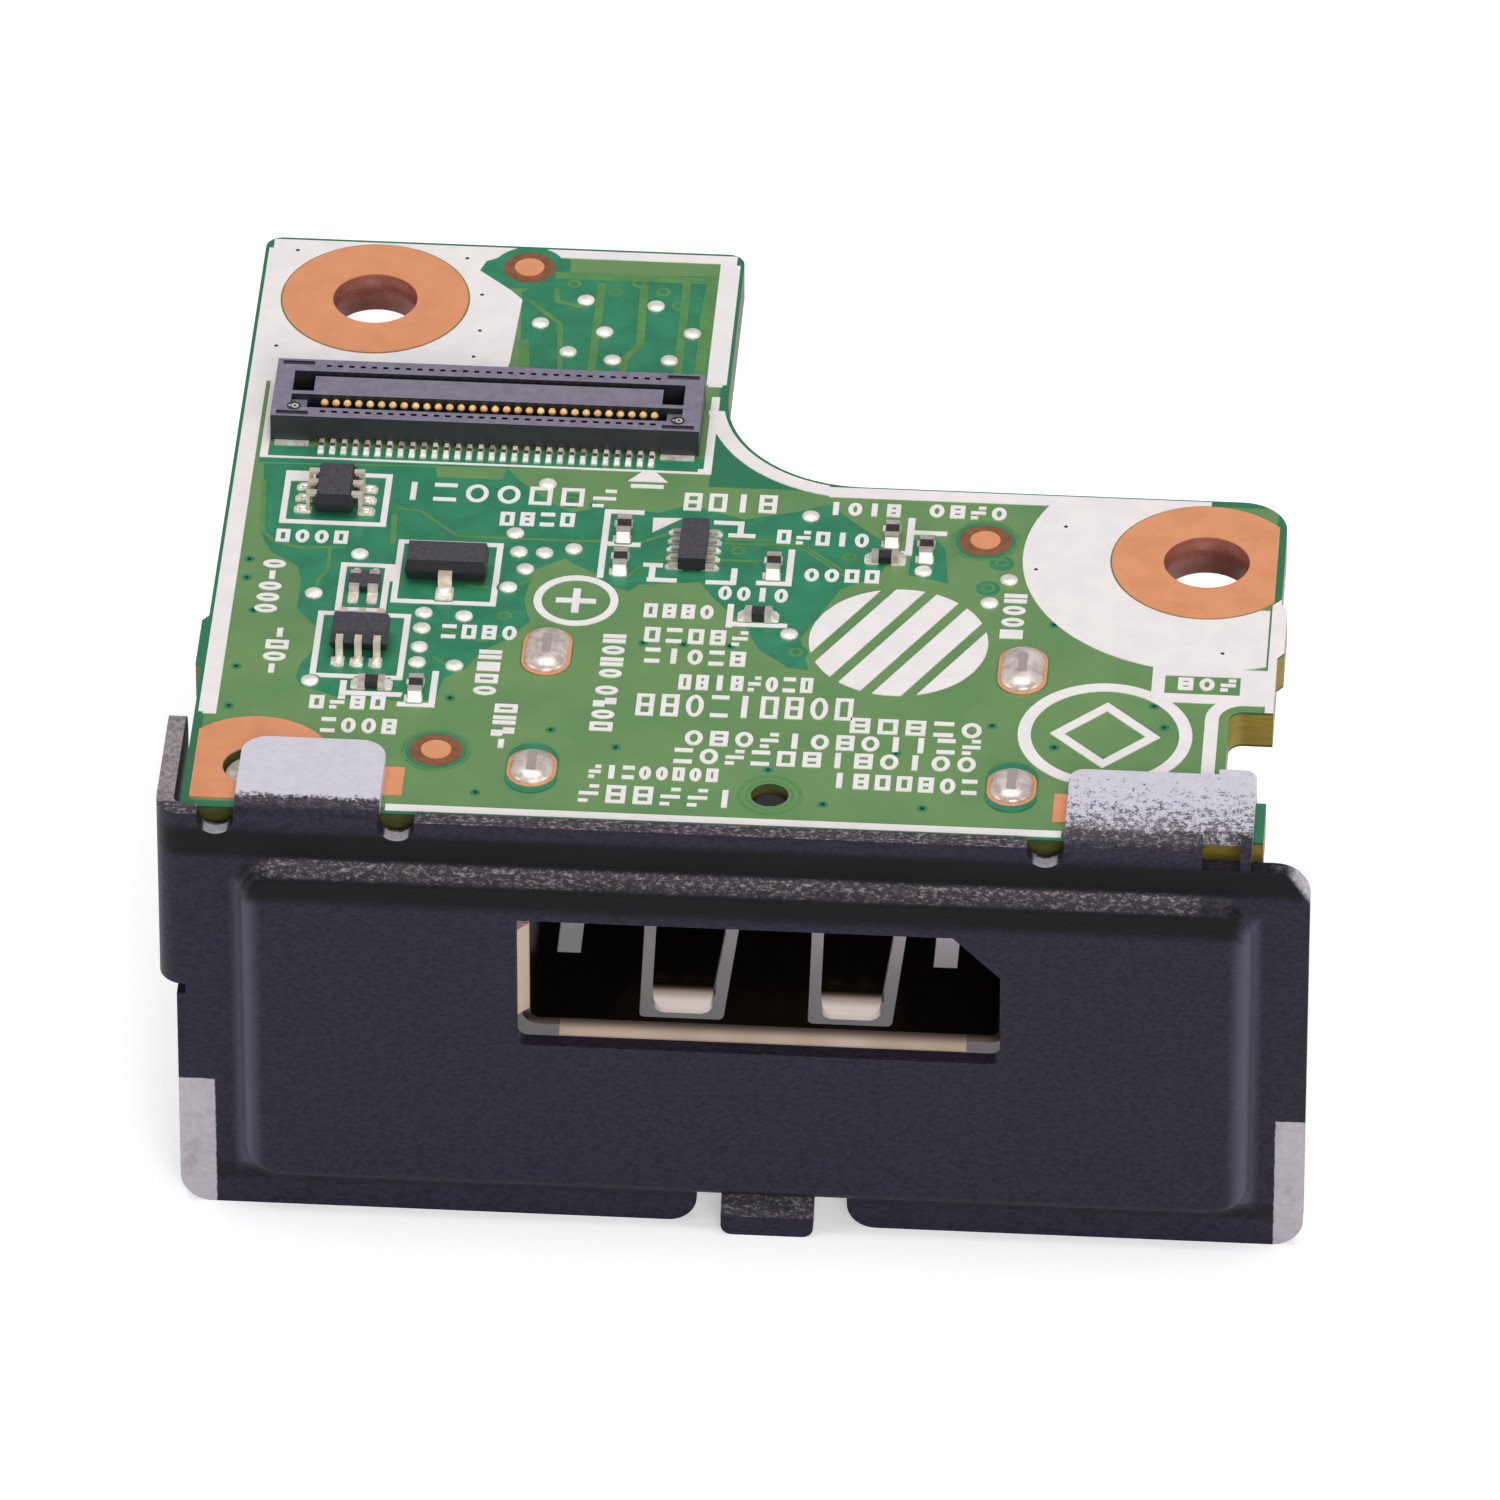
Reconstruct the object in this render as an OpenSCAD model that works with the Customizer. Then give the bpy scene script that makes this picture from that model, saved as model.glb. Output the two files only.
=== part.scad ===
// Video port card: a small circuit board with a board-to-board connector on its upper face,
// a shielded display port under its front edge and a folded sheet-steel bracket.
// Millimetres. The origin is the axis of the left screw hole at the board's upper face.
// X runs to the right along the bracket, Y from the bracket to the far edge, Z up.

/* [Circuit board] */
// Overall width of the board
board_w = 37; // [34:0.5:42]
// Depth of the board from its front edge to its far edge
board_d = 33.9; // [32:0.1:38]
// Thickness of the board
board_t = 1.45; // [1.2:0.05:1.6]
// Width of the deep part, at the left
block_w = 17.05; // [16.6:0.05:19]
// Depth of the shallow part, at the right
shoulder_d = 20.1; // [19:0.1:21.5]
// Radius of the inner corner between the two parts
shoulder_r = 5; // [3:0.5:6]
// Radius of the shallow part's far corner
far_corner_r = 1.6; // [0.5:0.1:2.2]
// Radius of the deep part's far corners
block_corner_r = 0.6; // [0.2:0.1:1.5]
// Diameter of the two screw holes
screw_hole_d = 3; // [2.6:0.1:3.4]
// Diameter of the copper land round each screw hole
screw_land_d = 6.6; // [6:0.1:7]
// Left screw hole, from the board's left edge
left_hole_x = 4.15; // [3.9:0.05:4.6]
// Left screw hole, from the board's far edge
left_hole_y = 3.6; // [3.5:0.05:4]
// Right screw hole, from the board's right edge
right_hole_x = 2.7; // [2.6:0.05:3.6]
// Right screw hole, from the shallow part's far edge
right_hole_y = 3.7; // [3.6:0.05:4.4]
// Length of the notch in the right edge
notch_l = 5.2; // [3.6:0.1:6]
// Depth of the notch
notch_w = 1.5; // [1.3:0.05:2]
// Length of the corner piece in front of the notch
corner_l = 2.25; // [2:0.05:2.5]
// How far the corner piece stands back from the front edge
corner_step = 0.33; // [0.3:0.01:0.5]
// How far the break-off stubs stand out at its sides
nub_w = 0.22; // [0.1:0.01:0.4]
// Length of a break-off stub
nub_l = 3.1; // [2:0.1:4]

/* [Copper and print] */
// Thickness of the copper lands
copper_t = 0.05; // [0.03:0.01:0.08]
// Thickness of the white print
print_t = 0.03; // [0.02:0.01:0.05]
// Width of the white frame lines
frame_line = 0.47; // [0.3:0.01:0.6]
// Width of the lines along the far edges
wide_line = 0.57; // [0.4:0.01:0.7]
// Width of the thin print lines
thin_line = 0.22; // [0.12:0.01:0.3]
// Thickness of solder under a terminal
solder_t = 0.06; // [0.03:0.01:0.1]

/* [Bracket] */
// Thickness of the bracket's sheet
sheet_t = 0.6; // [0.5:0.05:0.8]
// Inside radius of its bends
bend_r = 0.35; // [0.2:0.05:0.5]
// Width of the face
face_w = 38.83; // [37.5:0.01:41]
// Height of the face below the board's upper surface
face_drop = 16.25; // [14:0.05:18]
// Height of the face above the board's upper surface
face_rise = 0.4; // [0.2:0.05:0.5]
// How far the face stands out past the board's left edge
face_side = 0.15; // [0.05:0.05:0.3]
// Gap between the face and the board's front edge
face_gap = 0.43; // [0.3:0.01:0.6]
// Height by which the panel stands out of the face
panel_h = 0.55; // [0.3:0.05:0.8]
// Width of the panel's sloping edge
panel_slope = 0.85; // [0.4:0.05:1]
// Margin of the panel at the face's left and right
panel_side = 1.85; // [1.5:0.05:2.5]
// Margin of the panel at the face's bottom
panel_low = 1.05; // [0.8:0.05:1.4]
// Depth of the panel's top edge below the board's upper surface
panel_top = 1.15; // [1.05:0.05:1.4]
// Width of the left tab, which lies on the board
left_tab_w = 4.95; // [3.5:0.05:5.5]
// Left tab, from the face's left edge
left_tab_x = 2.05; // [1.9:0.05:2.6]
// Gap between the lands of the port's right legs and the right tab
right_tab_gap = 1.13; // [0.4:0.01:1.8]
// Reach of the tabs from the face's front surface
tab_reach = 4.3; // [3.8:0.05:4.6]
// Diameter of the relief notches beside the tabs
relief_d = 1.25; // [1:0.05:1.4]
// Gap between the side flange and the board's left edge
flange_gap = 0.2; // [0.1:0.05:0.3]
// Length of the side flange from the face's front surface
flange_l = 6.2; // [4:0.05:8]
// Height of the side flange below the board's upper surface
flange_drop = 6.9; // [5:0.1:10]
// Width of the small hook at the bottom
hook_w = 3.2; // [2.4:0.1:4]
// Centre of the hook, from the face's left edge
hook_x = 20.35; // [18:0.05:22]
// How far the hook stands out in front of the face
hook_jog = 0.7; // [0.4:0.05:0.9]

/* [Port] */
// Width of the port's cavity
cavity_w = 16.15; // [15.9:0.05:16.4]
// Height of the port's cavity
cavity_h = 4.8; // [4.6:0.05:5]
// Size of the bevel at the cavity's upper right corner
cavity_bevel = 1.65; // [1.2:0.05:2]
// Thickness of the port's shell
shell_t = 0.3; // [0.2:0.05:0.35]
// Length of the shell
shell_l = 12; // [11:0.1:13.5]
// Distance from the board's lower face to the shell's roof
port_drop = 1.53; // [1.2:0.01:2]
// Centre of the port, from the board's left edge
port_x = 20.05; // [19.5:0.05:20.5]
// Gap between the shell's mouth and the back of the panel
shell_gap = 0.05; // [0.03:0.01:0.1]
// Depth of the tongue's tip inside the shell's mouth
tongue_in = 3.85; // [3.6:0.05:4.6]
// Depth of the cavity
cavity_d = 8.2; // [7.6:0.1:8.8]
// Thickness of the tongue
tongue_t = 1.2; // [0.9:0.05:1.4]
// Width of the tongue
tongue_w = 11.4; // [11:0.1:12.4]
// Number of contacts in each row of the port
port_pins = 10; // [6:1:10]
// Distance from one port contact to the next
port_pitch = 1; // [0.8:0.05:1.05]

/* [Board connector] */
// Length of the board connector's housing
plug_l = 15.05; // [14.6:0.05:15.4]
// Width of the housing
plug_w = 3.45; // [3.2:0.05:3.8]
// Height of the housing
plug_h = 1.1; // [0.9:0.05:1.6]
// Contacts in each row
plug_pins = 30; // [10:1:30]
// Distance from one contact to the next
plug_pitch = 0.4; // [0.3:0.01:0.42]
// Housing's left end, from the board's left edge
plug_x = 1.2; // [1.05:0.05:1.3]
// Housing's far side, from the board's far edge
plug_y = 8.95; // [8.6:0.05:9.3]

/* [Hidden] */
$fn = 64;
CHIPS = 9;

// Board edges
x_left = -left_hole_x;
x_right = x_left + board_w;
y_far = left_hole_y;
y_front = y_far - board_d;
x_block = x_left + block_w;
y_shoulder = y_front + shoulder_d;
right_hole = [x_right - right_hole_x, y_shoulder - right_hole_y];
y_corner = y_front + corner_step;
y_notch = y_corner + corner_l;
x_notch = x_right - notch_w;
notch_r = 0.5;
edge_margin = 0.25;
notch_line_gap = 0.35;
block_line_gap = 0.27;
arc_line_gap = 0.14;
edge_line = 0.3;
left_nub_y = 7.9;
right_nub_y = 11;
stub_slant = 0.3;

// Bracket planes
bend_out = bend_r + sheet_t;
y_face = y_front - face_gap - sheet_t;
y_back = y_face + sheet_t;
y_panel = y_face - panel_h;
x_face = x_left - face_side;
x_face_end = x_face + face_w;
z_foot = -face_drop;
tab_z = copper_t;
face_corner_r = 1.2;
foot_corner_r = 1.1;
left_tab_x0 = x_face + left_tab_x;
right_tab_x1 = x_right - 0.35;
y_tab = y_face + tab_reach;
tab_corner_r = 0.9;
relief_low = -0.4;
window_w = 1.3;
window_strip = 0.38;
right_rise = -0.25;
lug_drop = 0.9;
lug_clear = 0.12;
lug_extra = 0.3;
lug_l = 1.3;
lug_corner_r = 0.4;
x_flange = x_left - flange_gap - sheet_t;
hook_gap_left = 0.87;
hook_gap_right = 1.12;
hook_up = 1.5;
hook_corner_r = 0.4;
hook_shoulder_r = 1;
panel_corner_r = 1.7;
opening_left = 0.39;
opening_right = 0.06;
opening_up = 0.11;
opening_down = 0.42;

// Port planes
x_port = x_left + port_x;
y_mouth = y_panel + sheet_t + shell_gap;
lip_l = 0.42;
lip_flare = 0.38;
y_shell = y_mouth + lip_l;
y_shell_end = y_mouth + shell_l;
z_roof = -board_t - port_drop - shell_t;
z_floor = z_roof - cavity_h;
z_tongue = (z_roof + z_floor) / 2;
y_tongue = y_mouth + tongue_in;
y_body = y_mouth + cavity_d;
wall_x = (cavity_w + shell_t) / 2;
leg_w = 1;
leg_hole_d = 1.2;
leg_ring_d = 1.7;
leg_pad_l = 2.75;
leg_up = 0.45;
leg_front = 3.8;
leg_span = 6.77;
leg_ys = [y_mouth + leg_front, y_mouth + leg_front + leg_span];
right_tab_x0 = x_port + wall_x + leg_ring_d / 2 + right_tab_gap;
right_tab_w = right_tab_x1 - right_tab_x0;
peg_hole_d = 1.3;
peg_d = 1.1;
peg_hole_y = y_mouth + 2.85;
ear_w = 2.2;
riser_side = 0.35;
riser_front = y_mouth + 1.8;
block_l = 1.4;
y_block = y_shell_end + block_l;
contact_w = 0.4;
contact_t = 0.15;
foot_l = 1;
tail_step = 0.5;
finger_offset = 2.9;
finger_tip_w = 2.05;
finger_root_w = 2.6;
finger_tip_r = 0.45;
finger_l = 7;
finger_gap = 0.42;
finger_front = 1.1;
finger_rise = 0.55;
finger_front_gap = 0.42;
finger_slot_r = 0.2;
vent_w = 0.82;
vent_l = 2.5;
vent_y = y_mouth + 4.15;

// Board connector planes
plug_x0 = x_left + plug_x;
plug_x1 = plug_x0 + plug_l;
plug_y1 = y_far - plug_y;
plug_y0 = plug_y1 - plug_w;
plug_pin_x0 = (plug_x0 + plug_x1) / 2 + 0.09 - plug_pitch * (plug_pins - 1) / 2;
rim_w = 0.56;
far_rim_w = 0.7;
island_w = 1.1;
far_slot_w = 0.3;
pocket_l = 0.75;
pocket_end = 0.65;
plug_floor_t = 0.3;
plug_lift = 0.22;
pin_w = 0.16;
pin_t = 0.12;
pin_foot = 0.62;

// Small parts: centres from the board's left edge and front edge
chip_l = 0.93;
chip_w = 0.5;
cap_l = 0.24;
cap_t = 0.02;
// [x, y, turned a quarter, height of the body]
CHIP_PLACES = [
    [5.95, 7.28, 0, 0.24], [7.49, 7.07, 1, 0.33], [13.97, 16.87, 1, 0.33],
    [13.98, 14.93, 1, 0.33], [19.31, 15.03, 1, 0.33], [18.97, 12.11, 0, 0.27],
    [23.31, 17.18, 1, 0.33], [24.55, 16.37, 1, 0.33], [23.14, 15.78, 0, 0.24]];
chip_pad_l = 0.52;
chip_pad_x = 0.46;
twin_a = [3.8, 18.05];
transistor = [8.02, 13.95];
twin_b = [5.36, 9.69];
network = [5.21, 13.14];
array = [16.47, 15.88];

twin_l = 2;
twin_w = 1.5;
twin_draft = 0.2;
twin_h = 0.95;
twin_pitch = 0.65;
twin_lead_w = 0.25;
lead_root = 0.2;
transistor_l = 2.85;
transistor_w = 1.3;
transistor_h = 1;
transistor_span = 1.9;
transistor_lead_w = 0.48;
lead_t = 0.13;
lead_reach = 0.45;
array_l = 2.4;
array_w = 0.95;
array_h = 0.5;
array_pitch = 0.5;
array_pins = 5;
array_lead_l = 0.3;
network_s = 1;
network_h = 0.24;
network_pin_x = 0.33;
network_pin_w = 0.36;

FIDUCIALS = [[9.45, 32.6], [26.55, 17.2], [8.47, 3.72]];
fiducial_d = 1.05;
// Centres of the tinned vias, from the board's left edge and front edge
VIAS = [
    [11.6, 30.7], [14.1, 30.5], [10.1, 29.2], [12.4, 28.8], [15.5, 28.9], [11.2, 27.5],
    [12.8, 27.1], [14.8, 27.2], [11.1, 19.5], [10.2, 16.5], [10.4, 15.4], [11.3, 15.4],
    [12.3, 15.7], [10.7, 14.4], [10.2, 13.3], [4.9, 14.9], [3.5, 12.5], [7.4, 11.6],
    [8.8, 11.5], [7.4, 10.7], [7.4, 9.6], [7.4, 8.7], [8.7, 8.6], [3.8, 7.4],
    [20.4, 18.2], [24.5, 15.2], [27.5, 14.9], [26.9, 13.5], [20.1, 11.2]];
via_d = 0.62;

board_green = [0.2, 0.5, 0.3];
copper_tone = [0.88, 0.58, 0.4];
print_tone = [0.93, 0.92, 0.9];
solder_tone = [0.82, 0.82, 0.82];
black_tone = [0.2, 0.19, 0.23];
lavender_tone = [0.36, 0.33, 0.42];
gold_tone = [0.85, 0.65, 0.3];
steel_tone = [0.7, 0.68, 0.66];

// A point given from the board's left and front edges
function on_board(p) = [x_left + p[0], y_front + p[1]];

// Outlines on the board

module round_rect(w, d, r) {
    translate([r, r])
        square([w - 2 * r, d]);
    // The four round corners and the two side strips
    intersection() {
        square([w, d]);
        union() {
            translate([0, r])
                square([w, d - 2 * r]);
            translate([r, 0])
                square([w - 2 * r, d]);
            for (x = [r, w - r])
                for (y = [r, d - r])
                    translate([x, y])
                        circle(r);
        }
    }
}

// A square with one round corner cut away, to be taken off an outer corner
module corner_cut(r, turn) {
    rotate(turn)
        difference() {
            translate([-r, -r])
                square(2 * r);
            translate([-r, -r])
                circle(r);
            translate([-2 * r, -r])
                square([r, 2 * r]);
            translate([-r, -2 * r])
                square([2 * r, r]);
        }
}

// Small stubs are left at both sides where the board was broken out of its panel
module board_outline() {
    left_stub = y_front + left_nub_y;
    difference() {
        union() {
            translate([x_left + block_w / 2, y_front])
                square([board_w - block_w / 2, shoulder_d]);
            // The deep part, with its stub
            polygon([
                [x_left, y_front], [x_left + block_w, y_front], [x_left + block_w, y_far],
                [x_left, y_far], [x_left, left_stub + nub_l],
                [x_left - nub_w, left_stub + nub_l - stub_slant],
                [x_left - nub_w, left_stub + stub_slant], [x_left, left_stub]]);
            translate([x_block, y_shoulder])
                difference() {
                    square(shoulder_r);
                    translate([shoulder_r, shoulder_r])
                        circle(shoulder_r);
                }
            // The other stub
            translate([x_right, y_front + right_nub_y])
                polygon([
                    [-nub_w, -stub_slant], [nub_w, stub_slant], [nub_w, nub_l - stub_slant],
                    [-nub_w, nub_l + stub_slant]]);
        }
        translate([x_left, y_far])
            rotate(90)
                corner_cut(block_corner_r, 0);
        translate([x_block, y_far])
            corner_cut(block_corner_r, 0);
        translate([x_right, y_shoulder])
            corner_cut(far_corner_r, 0);
        notch_outline(0);
        translate([x_notch - 0.5, y_front - 1])
            square([notch_w + 1, 1 + corner_step]);
    }
}

module notch_outline(grow) {
    translate([x_notch - grow, y_notch - grow])
        difference() {
            square([notch_w + grow + 1, notch_l + 2 * grow]);
            translate([0, notch_l + 2 * grow])
                rotate(90)
                    corner_cut(notch_r + grow, 0);
            rotate(180)
                corner_cut(notch_r + grow, 0);
        }
}

module screw_places() {
    circle(d = $hole);
    translate(right_hole)
        circle(d = $hole);
}

third_hole = [x_left + 2.3, y_front + 2.35];
third_hole_d = 2.1;
third_land_r = 2.85;
third_land_left = 0.26;
third_land_front = 0.46;

module board_holes() {
    $hole = screw_hole_d;
    screw_places();
    translate(third_hole)
        circle(d = third_hole_d);
    translate([x_port, peg_hole_y])
        circle(d = peg_hole_d);
    leg_places()
        circle(d = leg_hole_d);
}

module leg_places() {
    for (side = [-1, 1])
        for (y = leg_ys)
            translate([x_port + side * wall_x, y])
                children();
}

module circuit_board() {
    color(board_green)
        translate([0, 0, -board_t])
            linear_extrude(board_t)
                difference() {
                    board_outline();
                    board_holes();
                }
}

// The copper: everything that stays inside the board's edge by a margin
module land_area(left, front) {
    translate([x_left + left, y_front + front])
        square([board_w - left - edge_margin, shoulder_d - front - edge_margin]);
    translate([x_left + left, y_front + front])
        square([block_w - left - edge_margin, board_d - front - edge_margin]);
}

module screw_lands() {
    intersection() {
        union() {
            circle(d = screw_land_d);
            translate(right_hole)
                circle(d = screw_land_d);
        }
        land_area(edge_margin, edge_margin);
    }
}

module tab_lands() {
    intersection() {
        union() {
            translate(third_hole)
                circle(third_land_r);
            translate([x_left, y_front])
                square([third_hole[0] - x_left + third_land_r - 0.3, 2]);
        }
        land_area(third_land_left, third_land_front);
    }
    // The end of the earthing land beside each tab
    translate([left_tab_x0 + left_tab_w - 0.5, y_front + 1])
        square([1.15, 1.6]);
    translate([right_tab_x0 - 0.5, y_front + 1])
        square([1.15, 1.6]);
}

// A slot shape along y
module oblong(w, l) {
    for (side = [-1, 1])
        translate([0, side * (l - w) / 2])
            circle(d = w);
    translate([-w / 2, -(l - w) / 2])
        square([w, l - w]);
}

module ring_lands() {
    leg_places()
        oblong(leg_ring_d, leg_pad_l);
}

module fiducial_dots() {
    for (p = FIDUCIALS)
        translate(on_board(p))
            circle(d = fiducial_d);
}

module copper_lands() {
    color(copper_tone) {
        linear_extrude(copper_t)
            difference() {
                union() {
                    screw_lands();
                    tab_lands();
                    ring_lands();
                    fiducial_dots();
                }
                board_holes();
            }
        translate([0, 0, -board_t - copper_t])
            linear_extrude(copper_t)
                difference() {
                    union() {
                        screw_lands();
                        ring_lands();
                    }
                    board_holes();
                }
        translate([0, 0, -board_t - copper_t])
            linear_extrude(copper_t)
                tail_lands();
    }
}

module tail_lands() {
    for (row = [0, 1])
        for (i = [0 : port_pins - 1])
            translate([pin_x(i, row) - contact_w / 2, y_block + contact_t])
                square([contact_w, foot_l + tail_step + contact_t]);
}

// White print

module frame_path() {
    difference() {
        intersection() {
            board_outline();
            union() {
                // Left edge
                translate([x_left + 0.28, y_front + 5])
                    square([frame_line, board_d - 5.2]);
                // Far edge of the deep part
                translate([x_left + 0.28, y_far - 0.15 - frame_line])
                    square([block_w - 1.1, frame_line]);
                // Right edge of the deep part
                translate([x_block - block_line_gap - wide_line, plug_y1 + 0.8])
                    square([wide_line, y_far - plug_y1 - 0.95]);
                // Shoulder's edge
                translate([x_block + 3.9, y_shoulder - 0.1 - wide_line])
                    square([10.4, wide_line]);
                // Right edge, out over the stub
                translate([x_right - edge_line, y_notch + notch_l])
                    square([edge_line + nub_w, 6.8]);
            }
        }
    }
    // Inner corner, an arc a little inside the board's own
    intersection() {
        translate([x_block + shoulder_r, y_shoulder + shoulder_r])
            difference() {
                circle(shoulder_r + arc_line_gap + wide_line);
                circle(shoulder_r + arc_line_gap);
            }
        translate([x_block - 1.3, y_shoulder - 1.2])
            square([5.2, 5.4]);
    }
    // Round the notch
    intersection() {
        difference() {
            notch_outline(notch_line_gap + frame_line);
            notch_outline(notch_line_gap);
        }
        translate([x_notch - 2, y_notch - 0.2])
            square([3.2, notch_l + 1.5]);
    }
    // Front line between the tabs
    translate([left_tab_x0 + left_tab_w + 0.15, y_front + 0.15])
        square([right_tab_x0 - left_tab_x0 - left_tab_w - 0.3, 0.36]);
}

module left_field() {
    // The field round the left hole, with a bay for the fiducial mark
    difference() {
        polygon([
            [x_left + 0.4, y_far - 0.35], [x_left + 9, y_far - 0.3], [x_left + 7.9, y_far - 1],
            [x_left + 7.7, y_far - 1.6], [x_left + 8.9, y_far - 2.75], [x_left + 9.35, y_far - 3.3],
            [x_left + 9.2, y_far - 7.2], [x_left + 8.9, plug_y1 + 0.1], [x_left + 0.4, plug_y1 + 0.1]]);
        circle(d = screw_land_d + 0.12);
    }
}

module right_field() {
    difference() {
        intersection() {
            translate(right_hole)
                circle(6.4);
            union() {
                translate([x_left, y_front])
                    square([board_w - 2.7, shoulder_d - 0.1]);
                translate([x_left, y_front])
                    square([board_w - edge_line - 0.07, shoulder_d - right_hole_y - 2.7]);
            }
        }
        translate(right_hole)
            circle(d = screw_land_d + 0.12);
        // A framed window, left green
        translate([x_notch - 2.3, y_notch + notch_l + 0.9])
            square([2.6, 1.05]);
    }
    translate([x_notch - 2.75, y_notch + notch_l + 0.4])
        difference() {
            square([4.2, 2]);
            translate([0.45, 0.5])
                square([2.6, 1.05]);
            translate([4, 0])
                square(2);
        }
}

module box_line(p, w, d, line) {
    translate(on_board(p))
        difference() {
            translate([-w / 2, -d / 2])
                square([w, d]);
            translate([-w / 2 + line, -d / 2 + line])
                square([w - 2 * line, d - 2 * line]);
        }
}

// Lines beside the small parts, each from one corner to the other
MARKS = [
    [1.92, 19.12, 3.1, 19.72], [6, 13.4, 6.3, 14.38],
    [4.86, 6.65, 5.09, 7.5], [4.86, 6.68, 7.05, 6.92],
    [7.98, 6.15, 8.21, 8.25], [6.9, 6.15, 8.21, 6.38],
    [13.21, 14.1, 13.44, 18.12], [13.21, 17.92, 14.6, 18.16], [13.21, 16, 14.6, 16.24],
    [17.05, 17.52, 18.12, 17.74], [17.9, 16.85, 18.12, 17.7], [17.6, 16.8, 18.55, 17.02],
    [15, 14.05, 15.22, 15], [14.95, 14, 16, 14.22], [14.77, 14.86, 15.46, 15.08],
    [17.85, 14, 18.07, 14.95], [17, 13.98, 18, 14.2],
    [19.76, 14.05, 19.99, 16.2], [18.75, 14.05, 19.99, 14.28],
    [17.87, 11.5, 18.09, 12.85], [17.87, 11.58, 20, 11.82],
    [23.8, 16.2, 24.05, 18.35], [23.9, 17.38, 25.2, 17.62], [23.65, 16.14, 24.05, 16.36]];

module part_marks() {
    for (m = MARKS)
        translate(on_board(m))
            square([m[2] - m[0], m[3] - m[1]]);
    // Triangle at the diode array's first terminal
    translate(on_board([14.95, 16.9]))
        polygon([[0, 0], [1, 0.9], [-0.03, 0.86]]);
}

module component_boxes() {
    box_line([3.79, 18.16], 3.74, 3.12, thin_line);
    box_line([8.015, 14.025], 3.67, 3.71, thin_line);
    box_line([5.185, 12.97], 1.77, 2.84, thin_line);
    box_line([5.365, 9.575], 3.23, 3.85, thin_line);
    part_marks();
}

module connector_box() {
    translate([plug_x0 - 0.3, plug_y0 - 1.02])
        difference() {
            square([plug_l + 0.8, plug_w + 1.2]);
            translate([thin_line * 1.3, thin_line * 1.3])
                square([plug_l + 0.8 - 2.6 * thin_line, plug_w + 2]);
        }
    // Arrow at the first contact
    translate([x_left + 14.58, plug_y0 - 1.6])
        polygon([[-0.7, 0], [0.7, 0], [0.12, 0.72], [-0.12, 0.72]]);
    translate([x_left + 14, plug_y0 - 1.98])
        square([1.15, 0.2]);
}

module ring_mark(p, d, line) {
    translate(on_board(p))
        difference() {
            circle(d = d);
            circle(d = d - 2 * line);
        }
}

// What print stays clear of
module print_keep_out() {
    offset_land = 0.1;
    $hole = screw_land_d + 0.12;
    screw_places();
    tab_area();
    for (p = FIDUCIALS)
        translate(on_board(p))
            circle(d = fiducial_d + 1.5);
    leg_places()
        oblong(leg_ring_d + 2 * offset_land, leg_pad_l + 2 * offset_land);
    for (p = VIAS)
        translate(on_board(p))
            circle(d = via_d + 2 * offset_land);
    component_area();
}

module tab_area() {
    translate([x_left, y_front])
        square([third_hole[0] - x_left + third_land_r, third_hole[1] - y_front + third_land_r + 0.1]);
    translate([x_left, y_front])
        square([left_tab_x0 + left_tab_w + 0.1 - x_left, y_tab - y_front + 0.1]);
    translate([right_tab_x0 - 0.1, y_front])
        square([right_tab_w + 1, y_tab - y_front + 0.1]);
    translate([left_tab_x0 + left_tab_w, y_front + 0.9])
        square([0.8, 1.8]);
    translate([right_tab_x0 - 0.8, y_front + 0.9])
        square([0.8, 1.8]);
}

module component_area() {
    translate([plug_x0 - 0.02, plug_y0 - pin_foot - 0.3])
        square([plug_l + 0.04, plug_w + 2 * pin_foot + 0.6]);
    solder_pads_2d(0.06);
    translate(on_board(array))
        square([array_w + 0.7, array_l + 0.1], center = true);
    translate(on_board(twin_a))
        square([twin_w + 0.1, twin_l + 0.1], center = true);
    translate(on_board(twin_b))
        square([twin_l + 0.1, twin_w + 0.1], center = true);
    translate(on_board(transistor))
        square([transistor_l + 0.1, transistor_w + 0.1], center = true);
    translate(on_board(network))
        square(network_s + 0.2, center = true);
    for (i = [0 : CHIPS - 1])
        translate(on_board([CHIP_PLACES[i][0], CHIP_PLACES[i][1]]))
            rotate(CHIP_PLACES[i][2] * 90)
                square([chip_l + 0.5, chip_w + 0.1], center = true);
}

module white_print() {
    color(print_tone)
        linear_extrude(print_t)
            difference() {
                intersection() {
                    union() {
                        frame_path();
                        left_field();
                        right_field();
                        component_boxes();
                        connector_box();
                        ring_mark([12.6, 12.7], 2.95, 0.28);
                        ring_mark([31.3, 6.1], 6, 0.45);
                    }
                    board_outline();
                }
                print_keep_out();
            }
}

module tinned_vias() {
    color(solder_tone)
        for (p = VIAS)
            translate(on_board(p))
                cylinder(h = copper_t, d = via_d);
}

// Bracket

// Quarter ring in a plane: centre at the origin, in the +x +y quarter
module quarter_ring(outer, inner) {
    intersection() {
        difference() {
            circle(outer);
            circle(inner);
        }
        square(outer + 1);
    }
}

// Side view of a tab: y to the right, z up, drawn at its own place
module tab_side(reach_end) {
    centre_y = y_face + bend_out;
    centre_z = tab_z - bend_r;
    translate([centre_y, tab_z])
        square([reach_end - centre_y, sheet_t]);
    translate([centre_y, centre_z])
        mirror([1, 0])
            quarter_ring(bend_out, bend_r);
    translate([y_face, relief_low])
        square([sheet_t, centre_z - relief_low]);
}

module along_x(x0, w) {
    translate([x0, 0, 0])
        rotate([90, 0, 90])
            linear_extrude(w)
                children();
}

// Outline drawn in x and z, thickened backwards from the plane y
module wall_at(y, t) {
    translate([0, y + t, 0])
        rotate([90, 0, 0])
            linear_extrude(t)
                children();
}

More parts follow.
